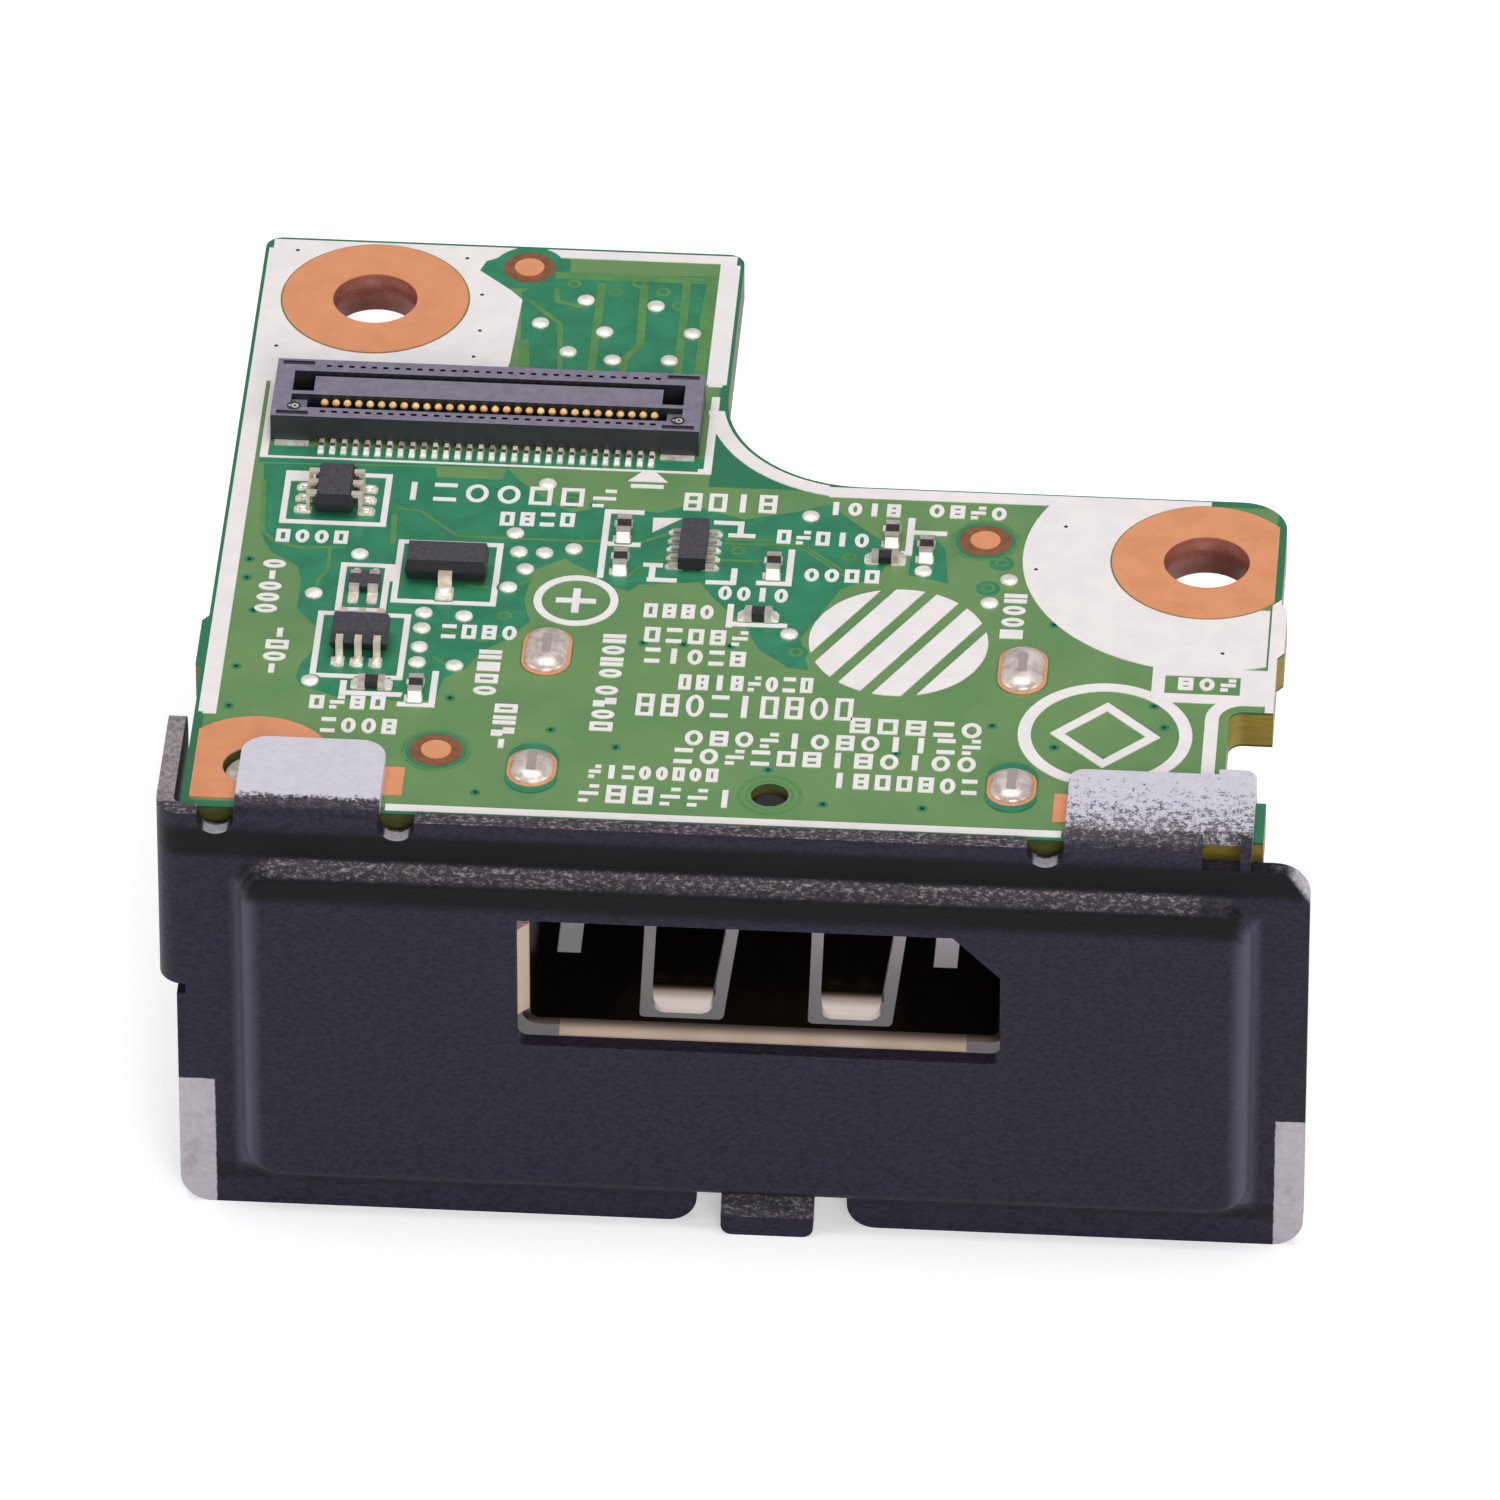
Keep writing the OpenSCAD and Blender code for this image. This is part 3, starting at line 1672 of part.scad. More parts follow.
module connector_pads() {
    for (i = [0 : plug_pins - 1])
        for (y = [plug_y0 - pin_foot - 0.12, plug_y1 - 0.05])
            translate([plug_pin_x0 + i * plug_pitch - 0.11, y])
                square([0.22, pin_foot + 0.17]);
    for (x = [plug_x0 + 0.15, plug_x1 - 1.35])
        for (y = [plug_y0 - 0.25, plug_y1 - 0.3])
            translate([x, y])
                square([1.2, 0.55]);
}

circuit_board();
copper_lands();
white_print();
tinned_vias();
mounting_bracket();
port_shell();
port_insulator();
port_contacts(1);  // port_contacts_upper
port_contacts(0);  // port_contacts_lower
shell_solder_joints();
board_connector_housing();
board_connector_near_contacts();
board_connector_far_contacts();
board_connector_hold_downs();
color(black_tone) at_part(twin_a, 0) twin_body();  // twin_transistor_a_body
color(steel_tone) at_part(twin_a, 0) twin_leads();  // twin_transistor_a_leads
color(black_tone) at_part(twin_b, 90) twin_body();  // twin_transistor_b_body
color(steel_tone) at_part(twin_b, 90) twin_leads();  // twin_transistor_b_leads
color(black_tone)  // transistor_body
        at_part(transistor, 0)
            difference() {
                moulded_body(transistor_l, transistor_w, transistor_h, 0.08);
                transistor_lead_set();
            }
color(steel_tone) at_part(transistor, 0) transistor_lead_set();  // transistor_leads
color(black_tone) at_part(array, 0) array_body();  // diode_array_body
color(steel_tone) at_part(array, 0) array_terminals();  // diode_array_terminals
color(black_tone) at_part(network, 0) network_body();  // resistor_network_body
color(steel_tone) at_part(network, 0) network_terminals();  // resistor_network_terminals
component_solder();
for (i = [1 : CHIPS]) {
    chip_body(i - 1);
    chip_caps(i - 1);
}
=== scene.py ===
"""Looks of the video port card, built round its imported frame.

Lengths are in millimetres until MM turns them into the frame's metres.
Places on the board are given from its left and front edges, as in the part's source.
"""

import math
import random

import bpy
from mathutils import Matrix, Vector

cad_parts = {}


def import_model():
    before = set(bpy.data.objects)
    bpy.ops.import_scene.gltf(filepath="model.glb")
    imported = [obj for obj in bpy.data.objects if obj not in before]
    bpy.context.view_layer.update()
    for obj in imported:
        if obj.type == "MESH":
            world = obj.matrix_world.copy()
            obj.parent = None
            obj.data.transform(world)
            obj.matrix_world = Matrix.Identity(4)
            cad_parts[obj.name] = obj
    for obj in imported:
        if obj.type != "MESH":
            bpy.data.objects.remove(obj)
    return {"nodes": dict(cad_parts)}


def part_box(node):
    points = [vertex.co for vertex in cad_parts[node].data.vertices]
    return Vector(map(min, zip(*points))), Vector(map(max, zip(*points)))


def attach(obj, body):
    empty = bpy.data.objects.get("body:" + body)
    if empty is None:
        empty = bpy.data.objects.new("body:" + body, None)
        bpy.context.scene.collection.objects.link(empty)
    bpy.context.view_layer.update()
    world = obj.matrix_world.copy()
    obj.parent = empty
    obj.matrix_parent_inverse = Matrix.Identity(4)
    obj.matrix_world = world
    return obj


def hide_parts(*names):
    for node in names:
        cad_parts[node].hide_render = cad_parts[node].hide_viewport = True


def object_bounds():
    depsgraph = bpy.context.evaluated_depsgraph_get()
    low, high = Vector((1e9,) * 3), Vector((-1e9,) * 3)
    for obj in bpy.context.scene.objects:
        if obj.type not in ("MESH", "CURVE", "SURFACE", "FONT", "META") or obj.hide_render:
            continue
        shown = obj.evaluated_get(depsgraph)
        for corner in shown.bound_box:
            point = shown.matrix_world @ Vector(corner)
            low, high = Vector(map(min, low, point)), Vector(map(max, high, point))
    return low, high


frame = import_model()
cad_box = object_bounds()

MM = 0.001
NODES = frame["nodes"]


def corners(name):
    """Lowest and highest corner of a node, in millimetres."""
    low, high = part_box(name)
    return [v / MM for v in low], [v / MM for v in high]


BOARD_LOW, BOARD_HIGH = corners("circuit_board")
PRINT_TOP = corners("white_print")[1][2]
COPPER_TOP = corners("tinned_vias")[1][2]
SHELL_LOW = corners("port_shell")[0]
BRACKET_LOW, BRACKET_HIGH = corners("mounting_bracket")
PLUG_LOW, PLUG_HIGH = corners("board_connector_housing")
# The port's floor and middle, its fingers to each side of that, the hook before the flat face,
# the middles of the notches beside the tabs
FLOOR_Z = -8.08
PORT_X = 15.9
FINGER_X = 2.9
HOOK_JOG = 0.7
NOTCH_X = (-2.875, 3.325, 25.485)
# The board: its side stub, the right end of its deep part, the far edge of its wide part
NUB_W = 0.22
BLOCK_END = BOARD_LOW[0] + NUB_W + 17.05
SHOULDER = BOARD_LOW[1] + 20.1
# The bracket's flat face, and a plane that only its tabs and flange reach beyond
FACE_Y = BRACKET_LOW[1] + HOOK_JOG
FRONT = FACE_Y + 1


def on_board(x, y):
    """A place given from the board's left and front edges."""
    return BOARD_LOW[0] + NUB_W + x, BOARD_LOW[1] + y


LEFT_HOLE = (0, 0)
RIGHT_HOLE = on_board(34.3, 16.4)
THIRD_HOLE = on_board(2.3, 2.35)
HOLE_R = 1.5


# Camera and light

AZIMUTH = 3.889
ELEVATION = 36.54
LENS = 453.74
CAMERA_PLACE = (50.366, -545.299, 385.827)
SKY = 0.22


def camera():
    azimuth = math.radians(AZIMUTH)
    elevation = math.radians(ELEVATION)
    data = bpy.data.cameras.new("photo_camera")
    data.sensor_width = 36
    data.lens = LENS
    data.clip_start = 0.05
    data.clip_end = 10
    obj = bpy.data.objects.new("photo_camera", data)
    right = Vector((math.cos(azimuth), math.sin(azimuth), 0))
    back = Vector((
        math.sin(azimuth) * math.cos(elevation),
        -math.cos(azimuth) * math.cos(elevation),
        math.sin(elevation)))
    up = back.cross(right)
    turn = Matrix((right, up, back)).transposed().to_4x4()
    obj.matrix_world = Matrix.Translation(Vector(CAMERA_PLACE) * MM) @ turn
    bpy.context.collection.objects.link(obj)
    bpy.context.scene.camera = obj


def world():
    """A pale sky for the light, and plain white behind the object."""
    sky = bpy.data.worlds.new("studio")
    bpy.context.scene.world = sky
    sky.use_nodes = True
    tree = sky.node_tree
    light = tree.nodes["Background"]
    light.inputs["Color"].default_value = (0.93, 0.95, 1, 1)
    light.inputs["Strength"].default_value = SKY
    seen = tree.nodes.new("ShaderNodeBackground")
    seen.inputs["Color"].default_value = (1, 1, 1, 1)
    path = tree.nodes.new("ShaderNodeLightPath")
    mix = tree.nodes.new("ShaderNodeMixShader")
    tree.links.new(path.outputs["Is Camera Ray"], mix.inputs["Fac"])
    tree.links.new(light.outputs[0], mix.inputs[1])
    tree.links.new(seen.outputs[0], mix.inputs[2])
    tree.links.new(mix.outputs[0], tree.nodes["World Output"].inputs["Surface"])


def lamp(name, place, target, size, power):
    data = bpy.data.lights.new(name, "AREA")
    data.shape = "RECTANGLE"
    data.size = size[0]
    data.size_y = size[1]
    data.energy = power
    obj = bpy.data.objects.new(name, data)
    obj.location = place
    obj.rotation_euler = (Vector(place) - Vector(target)).to_track_quat("Z", "Y").to_euler()
    bpy.context.collection.objects.link(obj)


# Material helpers


class Shader:
    """A material's node tree, with short calls for the nodes used here."""

    def __init__(self, name, colour=(0.5, 0.5, 0.5), rough=0.5, metal=0.0, **more):
        self.material = bpy.data.materials.new(name)
        self.material.use_nodes = True
        self.tree = self.material.node_tree
        self.tree.nodes.clear()
        self.out = self.add("ShaderNodeOutputMaterial")
        self.bsdf = self.add("ShaderNodeBsdfPrincipled")
        self.tree.links.new(self.bsdf.outputs[0], self.out.inputs["Surface"])
        self.put("Base Color", (*colour, 1))
        self.put("Roughness", rough)
        self.put("Metallic", metal)
        for key, value in more.items():
            self.put(key.replace("_", " "), value)
        self.coords = self.add("ShaderNodeTexCoord").outputs["Object"]
        self.parts = None

    def add(self, kind, **values):
        node = self.tree.nodes.new(kind)
        for key, value in values.items():
            setattr(node, key, value)
        return node

    def feed(self, socket, value):
        """Link a socket, or write a plain value into it."""
        if isinstance(value, bpy.types.NodeSocket):
            self.tree.links.new(value, socket)
        else:
            socket.default_value = value

    def put(self, name, value):
        self.feed(self.bsdf.inputs[name], value)

    def math(self, operation, a, b=0.0):
        node = self.add("ShaderNodeMath", operation=operation)
        for socket, value in zip(node.inputs, (a, b)):
            self.feed(socket, value)
        return node.outputs[0]

    def times(self, *values):
        out = values[0]
        for value in values[1:]:
            out = self.math("MULTIPLY", out, value)
        return out

    def most(self, *values):
        out = values[0]
        for value in values[1:]:
            out = self.math("MAXIMUM", out, value)
        return out

    def rest(self, value):
        """What a part leaves of 1."""
        return self.math("SUBTRACT", 1.0, value)

    def axis(self, which):
        """The object's own x, y or z, in millimetres."""
        if self.parts is None:
            scaled = self.add("ShaderNodeVectorMath", operation="SCALE")
            self.feed(scaled.inputs[0], self.coords)
            scaled.inputs["Scale"].default_value = 1 / MM
            self.parts = self.add("ShaderNodeSeparateXYZ")
            self.feed(self.parts.inputs[0], scaled.outputs[0])
        return self.parts.outputs["XYZ".index(which)]

    def normal(self, which):
        split = self.add("ShaderNodeSeparateXYZ")
        self.feed(split.inputs[0], self.add("ShaderNodeNewGeometry").outputs["True Normal"])
        return split.outputs["XYZ".index(which)]

    def noise(self, per_mm, detail=2.0, rough=0.5, stretch=(1, 1, 1)):
        """Noise from 0 to 1, with so many features to the millimetre."""
        place = self.add("ShaderNodeMapping")
        self.feed(place.inputs["Vector"], self.coords)
        place.inputs["Scale"].default_value = [v * per_mm / MM for v in stretch]
        node = self.add("ShaderNodeTexNoise")
        node.inputs["Scale"].default_value = 1
        node.inputs["Detail"].default_value = detail
        node.inputs["Roughness"].default_value = rough
        self.feed(node.inputs["Vector"], place.outputs[0])
        return node.outputs["Fac"]

    def step(self, value, low, high):
        """0 below low, 1 above high, smooth between."""
        node = self.add("ShaderNodeMapRange", interpolation_type="SMOOTHSTEP")
        self.feed(node.inputs["Value"], value)
        node.inputs["From Min"].default_value = low
        node.inputs["From Max"].default_value = high
        return node.outputs[0]

    def ramp(self, value, low, high, to_low, to_high):
        node = self.add("ShaderNodeMapRange")
        self.feed(node.inputs["Value"], value)
        node.inputs["From Min"].default_value = low
        node.inputs["From Max"].default_value = high
        node.inputs["To Min"].default_value = to_low
        node.inputs["To Max"].default_value = to_high
        return node.outputs[0]

    def mix(self, amount, a, b):
        node = self.add("ShaderNodeMix", data_type="RGBA")
        self.feed(node.inputs[0], amount)
        self.feed(node.inputs[6], a if isinstance(a, bpy.types.NodeSocket) else (*a, 1))
        self.feed(node.inputs[7], b if isinstance(b, bpy.types.NodeSocket) else (*b, 1))
        return node.outputs[2]

    def blend(self, amount, a, b):
        node = self.add("ShaderNodeMix", data_type="FLOAT")
        self.feed(node.inputs[0], amount)
        self.feed(node.inputs[2], a)
        self.feed(node.inputs[3], b)
        return node.outputs[0]

    def bump(self, height, depth_mm, strength=1.0):
        node = self.add("ShaderNodeBump")
        node.inputs["Strength"].default_value = strength
        node.inputs["Distance"].default_value = depth_mm * MM
        self.feed(node.inputs["Height"], height)
        self.put("Normal", node.outputs[0])

    def inside(self, soft, wander=None, **limits):
        """1 inside a box given as x0, x1, y0, y1, z0, z1, with a soft or wandering edge."""
        depth = None
        for key, limit in limits.items():
            place = self.axis(key[0].upper())
            side = self.math("SUBTRACT", place, limit) if key[1] == "0" else self.math(
                "SUBTRACT", limit, place)
            depth = side if depth is None else self.math("MINIMUM", depth, side)
        if wander is not None:
            depth = self.math("ADD", depth, wander)
        return self.step(depth, -soft, soft)


def linear(*rgb):
    """A colour as seen on screen, 0 to 255, as the shader wants it."""
    out = []
    for value in rgb:
        v = value / 255
        out.append(v / 12.92 if v <= 0.04045 else ((v + 0.055) / 1.055) ** 2.4)
    return tuple(out)


def paint(obj, material):
    obj.data.materials.clear()
    obj.data.materials.append(material)


# Materials


def mottled(name, colour, other, rough, per_mm=0.6, **more):
    """A surface whose colour drifts between two tones, with a fine grain."""
    s = Shader(name, colour, rough, **more)
    drift = s.step(s.noise(per_mm, 3, 0.6), 0.35, 0.65)
    s.put("Base Color", s.mix(drift, colour, other))
    return s


def board_material():
    s = Shader("green_board", rough=0.36, Coat_Weight=0.2, Coat_Roughness=0.2)
    pour = s.mix(s.step(s.noise(0.35, 4, 0.6), 0.35, 0.7), linear(109, 145, 89), linear(96, 137, 85))
    # The copper pour stops short of the board's edges
    margin = 0.34
    wide = s.inside(0.04, x0=BOARD_LOW[0] + NUB_W + margin, x1=BOARD_HIGH[0] - NUB_W - margin,
                    y0=BOARD_LOW[1] + margin, y1=SHOULDER - margin)
    deep = s.inside(0.04, x0=BOARD_LOW[0] + NUB_W + margin, x1=BLOCK_END - margin,
                    y0=BOARD_LOW[1] + margin, y1=BOARD_HIGH[1] - margin)
    top = s.mix(s.most(wide, deep), linear(38, 116, 80), pour)
    face = s.step(s.math("ABSOLUTE", s.normal("Z")), 0.4, 0.6)
    # The laminate's layers show along the cut edges
    layers = s.noise(9, 2, 0.6, (0.12, 0.12, 1.6))
    olive = s.mix(layers, linear(46, 54, 18), linear(104, 100, 34))
    golden = s.mix(layers, linear(96, 86, 20), linear(168, 140, 52))
    # The cut edge turns golden towards the right: painted light, with the olive tone to the left as painted
    # shade on the edge
    edge = s.mix(s.ramp(s.axis("X"), 27, 31, 0, 1), olive, golden)
    rim = s.inside(0.03, z0=BOARD_LOW[2] + 0.09, z1=BOARD_HIGH[2] - 0.09)
    edge = s.mix(rim, linear(40, 84, 44), edge)
    s.put("Base Color", s.mix(face, edge, top))
    s.put("Roughness", s.blend(face, 0.75, 0.36))
    s.bump(s.noise(2.2, 3, 0.6), 0.006, 0.5)
    return s.material


def copper_material():
    s = Shader("bare_copper", rough=0.42, metal=0.2)
    worn = s.step(s.noise(0.8, 4, 0.65), 0.35, 0.75)
    grain = s.noise(14, 2, 0.6)
    colour = s.mix(worn, linear(234, 156, 110), linear(222, 144, 98))
    s.put("Base Color", s.mix(s.times(grain, 0.3), colour, linear(240, 170, 128)))
    s.put("Roughness", s.ramp(grain, 0.3, 0.7, 0.36, 0.5))
    s.bump(grain, 0.003, 0.4)
    return s.material


def print_material():
    s = mottled("white_print", linear(238, 232, 229), linear(232, 226, 224), 0.55, 0.8)
    s.bump(s.noise(9, 2, 0.6), 0.004, 0.5)
    return s.material


def solder_material(name, rough, colour, other):
    s = Shader(name, colour, rough, 0.35)
    drift = s.noise(2.2, 3, 0.6)
    s.put("Base Color", s.mix(s.step(drift, 0.35, 0.65), colour, other))
    s.put("Roughness", s.ramp(drift, 0.3, 0.7, rough * 0.7, rough * 1.5))
    s.bump(s.noise(3, 3, 0.6), 0.012, 0.4)
    return s.material


def moulding_material(name, colour, other, rough=0.5):
    """Matt moulding compound, speckled by its filler, with its sides drawn darker than its top as painted
    shade.
    """
    s = Shader(name, colour, rough)
    # Painted shade: the sides are drawn at three tenths of the top's tone
    side = tuple(v * 0.3 for v in colour)
    up = s.step(s.normal("Z"), 0.5, 0.85)
    top = s.mix(s.step(s.noise(7, 3, 0.7), 0.35, 0.65), colour, other)
    s.put("Base Color", s.mix(up, side, top))
    s.bump(s.noise(12, 3, 0.6), 0.008, 0.7)
    return s.material


def housing_material():
    s = Shader("violet_housing", rough=0.42)
    up = s.step(s.normal("Z"), 0.5, 0.9)
    top = s.mix(s.noise(3, 3, 0.6), linear(100, 94, 112), linear(144, 137, 154))
    # Painted shade: the sides are drawn near black beside the lighter top
    side = s.mix(s.noise(2, 3, 0.6), linear(28, 30, 34), linear(44, 46, 50))
    # Painted shade in the recesses, below the top 0.4 mm
    deep = s.inside(0.04, z1=PLUG_HIGH[2] - 0.4)
    s.put("Base Color", s.mix(up, side, s.mix(deep, top, linear(30, 28, 40))))
    s.bump(s.noise(9, 3, 0.6), 0.006, 0.6)
    return s.material


def gold_material():
    s = Shader("gold_contacts", linear(222, 170, 90), 0.25, 0.8)
    s.put("Base Color", s.mix(s.noise(4, 2, 0.5), linear(206, 148, 66), linear(248, 204, 128)))
    s.put("Roughness", s.ramp(s.noise(8, 2, 0.5), 0.3, 0.7, 0.2, 0.36))
    return s.material


def foot_material(name, side_y, out):
    """Gold contacts whose feet, outside the housing, have solder at bend and tip, drawn near white as
    painted highlight, with the flat between drawn dark brown as painted shade.
    """
    s = Shader(name, rough=0.26)
    away = s.times(s.math("SUBTRACT", s.axis("Y"), side_y), out)
    outside = s.step(away, -0.02, 0.02)
    tip = s.step(away, 0.4, 0.46)
    bend = s.rest(s.step(away, 0.2, 0.27))
    each = s.step(s.noise(1.3, 1, 0.5, (1, 0, 0)), 0.4, 0.56)
    bright = s.most(tip, s.times(bend, s.ramp(each, 0, 1, 0.35, 1)))
    # Near white for the painted highlights, dark brown for the painted shade
    tinned = s.mix(bright, linear(86, 74, 62), linear(252, 250, 244))
    gold = s.mix(s.noise(4, 2, 0.5), linear(206, 148, 66), linear(248, 204, 128))
    s.put("Base Color", s.mix(outside, gold, tinned))
    s.put("Metallic", s.ramp(outside, 0, 1, 0.8, 0.2))
    s.bump(s.noise(9, 2, 0.6), 0.003, 0.4)
    return s.material


def hold_down_material():
    """Bright feet; their tops are dulled to the housing's tone."""
    s = Shader("hold_downs", rough=0.35, metal=0.3)
    top = s.step(s.axis("Z"), 0.6, 0.7)
    feet = s.mix(s.noise(3, 3, 0.6), linear(216, 210, 190), linear(248, 244, 234))
    s.put("Base Color", s.mix(top, feet, s.mix(s.noise(4, 2, 0.6), linear(60, 55, 68), linear(84, 78, 92))))
    s.bump(s.noise(5, 2, 0.6), 0.004, 0.5)
    return s.material


def lead_material(name, colour, other):
    s = Shader(name, colour, 0.28, 0.4)
    s.put("Base Color", s.mix(s.noise(2.5, 3, 0.6), colour, other))
    s.bump(s.noise(5, 2, 0.6), 0.004, 0.5)
    return s.material


def shell_material():
    """Plated steel, with painted shade darkening the cavity, painted light on the lips and finger tips, and
    lighter legs.
    """
    s = Shader("plated_shell", rough=0.3)
    mouth = SHELL_LOW[1]
    low = SHELL_LOW[2]
    height = s.axis("Z")
    streak = s.noise(0.5, 1, 0.5, (1, 0.2, 0.2))
    lips = s.inside(0.04, y1=mouth + 0.42)
    tips = s.most(*(
        s.inside(0.12, x0=x - 1.1, x1=x + 1.1, y0=mouth + 0.95, y1=mouth + 1.75,
                 z0=FLOOR_Z - 0.4, z1=FLOOR_Z + 0.62)
        for x in (PORT_X - FINGER_X, PORT_X + FINGER_X)))
    legs = s.inside(0.02, z0=-0.4)
    # A painted highlight runs along the lower lip's middle, with painted shade at its edges; the other lips
    # take the painted light all over
    shine = s.times(s.step(height, low, low + 0.24),
                    s.rest(s.step(height, FLOOR_Z - 0.3, FLOOR_Z - 0.02)))
    shine = s.most(shine, s.step(height, FLOOR_Z + 0.1, FLOOR_Z + 0.5))
    # Painted shade: the cavity's steel is drawn dark
    inner = s.mix(streak, linear(44, 38, 32), linear(72, 62, 50))
    lip = s.mix(shine, linear(70, 56, 46), s.mix(streak, linear(176, 150, 128), linear(224, 202, 184)))
    # Painted highlight on the finger tips near the mouth, fading to painted shade deeper in
    curl = s.mix(s.step(s.axis("Y"), mouth + 1.3, mouth + 1.75), linear(255, 242, 232), linear(112, 88, 72))
    colour = s.mix(tips, s.mix(lips, inner, lip), curl)
    s.put("Base Color", s.mix(legs, colour, linear(168, 156, 152)))
    s.put("Metallic", s.ramp(s.most(lips, tips, legs), 0, 1, 0.9, 0.1))
    return s.material


def bare_metal(s, up, fleck):
    """How bare: the tabs behind their bends, the lower corners, the far upper corner, the notches."""
    left = BRACKET_LOW[0]
    right = BRACKET_HIGH[0]
    wander = s.ramp(s.noise(5, 4, 0.8), 0.3, 0.7, -0.25, 0.25)
    slight = s.ramp(s.noise(4, 3, 0.7), 0.3, 0.7, -0.02, 0.02)
    aslant = s.math("ADD", s.math("ADD", s.axis("X"), s.times(s.axis("Z"), 0.65)), slight)
    places = [
        s.inside(0.1, wander, x0=left + 1, y0=FACE_Y + 0.95, z0=-0.2),
        s.inside(0.03, slight, x0=left - 2, x1=-3.05, y1=FRONT, z1=-10.95),
        s.inside(0.03, slight, x0=right - 1.02, y1=FRONT, z1=-10.9),
        s.times(s.inside(0.05, x0=right - 1.3, y1=FRONT, z0=-1.9),
                s.step(aslant, right - 1.05, right - 0.75), s.ramp(fleck, 0.35, 0.6, 0.85, 0.45))]
    for notch in NOTCH_X:
        places.append(s.times(up, 0.4, s.inside(
            0.03, x0=notch - 0.62, x1=notch + 0.62, y1=FACE_Y + 0.5, z0=-0.6, z1=-0.25)))
    # Flecks of paint left on the right tab, denser towards its bend
    on_right = s.inside(0.6, wander, x0=22.5, y0=FACE_Y + 0.6, z0=-0.2)
    denser = s.ramp(s.axis("Y"), FACE_Y + 0.8, FACE_Y + 4.2, 0.43, 0.62)
    flecks = s.step(s.math("SUBTRACT", fleck, denser), 0.0, 0.07)
    return s.times(s.most(*places), s.rest(s.times(flecks, on_right, 0.85)))


def worn_edges_and_glints(s, up, fleck):
    """Worn paint and painted glints: what faces up, most near the top and on the hook."""
    y = s.axis("Y")
    # Speckled painted glints on upward faces, mixed with real wear; strongest near the top and, at half
    # strength, on the hook
    sparkle = s.ramp(s.step(s.noise(8, 4, 0.85, (0.6, 1, 1)), 0.49, 0.68), 0, 1, 0.07, 0.85)
    hook = s.times(s.inside(0.05, x0=14.4, x1=17.8, z1=-14.9), 0.5)
    height = s.most(s.ramp(s.axis("Z"), -1.95, -1.45, 0.06, 1), hook)
    # Along the upper bend the wear and painted glints keep to what faces straight up
    slanted = s.rest(s.step(s.normal("Z"), 0.55, 0.85))
    crest = s.rest(s.times(s.inside(0.05, y1=FRONT, z0=-0.5), slanted))
    # The bends of the tabs have little wear and few painted glints at the front, and so does the window's
    # rim
    left_bend = s.blend(s.inside(0.05, x0=-2.3, x1=2.75, z0=-0.45), 1.0,
                        s.ramp(y, FACE_Y + 0.4, FACE_Y + 1, 0.05, 0.9))
    right_bend = s.blend(s.inside(0.05, x0=26.05, z0=-0.45), 1.0,
                         s.ramp(y, FACE_Y, FACE_Y + 0.8, 0.15, 1))
    window = s.blend(s.inside(0.1, x0=30.8, x1=33.2, y1=FACE_Y + 0.85, z0=-2), 1.0, 0.15)
    wear_and_glints = s.times(up, sparkle, height, crest, left_bend, right_bend, window)
    # The side flange's upper edge is rubbed nearly bare
    flange = s.inside(0.08, x1=BRACKET_LOW[0] + 0.8, y0=FACE_Y + 0.7, z0=-1.5)
    return s.most(wear_and_glints, s.times(flange, up, s.ramp(fleck, 0.35, 0.6, 0.85, 0.35)))


def black_paint(s, grain):
    """The pressed panel has a painted reflection, lighter along its side slopes, and painted shade in the
    valley, below the brow and along the bottom slope.
    """
    flat = FACE_Y + 0.1
    black = s.mix(s.step(grain, 0.34, 0.62), linear(28, 25, 37), linear(40, 37, 51))
    # Painted reflection: the side slopes drawn lighter
    sides = s.most(s.inside(0.35, x0=-2.2, x1=-1.6, y1=flat, z0=-14.6, z1=-2.4),
                   s.inside(0.35, x0=32.1, x1=32.7, y1=flat, z0=-14.6, z1=-2.4))
    black = s.mix(s.times(sides, 0.85), black, linear(82, 78, 95))
    # Painted shade: the valley above the panel, below its brow, and at half strength along the bottom
    dim = s.most(s.inside(0.3, x0=-1.9, x1=32.2, y1=flat, z0=-2.8, z1=-1.7),
                 s.inside(0.2, y1=flat + 0.6, z0=-1.35, z1=-0.2),
                 s.times(s.inside(0.1, y1=flat, z0=-15.2, z1=-14.5), 0.5))
    return s.mix(s.times(dim, 0.95), black, linear(4, 4, 6))


def zinc_plating(s):
    """Bright on the tabs, duller and stained at the lower corners."""
    grain = s.noise(3.5, 5, 0.75)
    stain = s.step(s.noise(0.7, 4, 0.7), 0.5, 0.75)
    tabs = s.mix(grain, linear(196, 190, 200), linear(228, 224, 236))
    low = s.mix(grain, linear(150, 142, 148), linear(190, 184, 194))
    low = s.mix(s.times(stain, 0.55), low, linear(132, 120, 112))
    return s.mix(s.step(s.axis("Z"), -6, -5), low, tabs)


def bracket_material():
    """Black textured paint over zinc-plated steel, with bare and worn places, painted glints on what faces
    up, and painted reflection and shade on the pressed panel.
    """
    s = Shader("painted_bracket", rough=0.45)
    s.put("Specular IOR Level", 0.13)
    up = s.step(s.normal("Z"), 0.25, 0.6)
    fleck = s.noise(5.5, 4, 0.8)
    grain = s.noise(6.5, 3, 0.65, (0.7, 1, 1))
    bare = bare_metal(s, up, fleck)
    # The tone of the worn places and of the painted glints
    worn = s.mix(s.noise(2, 3, 0.6), linear(158, 142, 138), linear(196, 188, 192))
    painted = s.mix(worn_edges_and_glints(s, up, fleck), black_paint(s, grain), worn)
    s.put("Base Color", s.mix(bare, painted, zinc_plating(s)))
    s.put("Metallic", s.times(bare, 0.2))
    s.put("Roughness", s.blend(bare, 0.42, 0.5))
    s.bump(s.blend(bare, grain, s.times(s.noise(6, 3, 0.6), 0.15)), 0.045, 0.6)
    return s.material


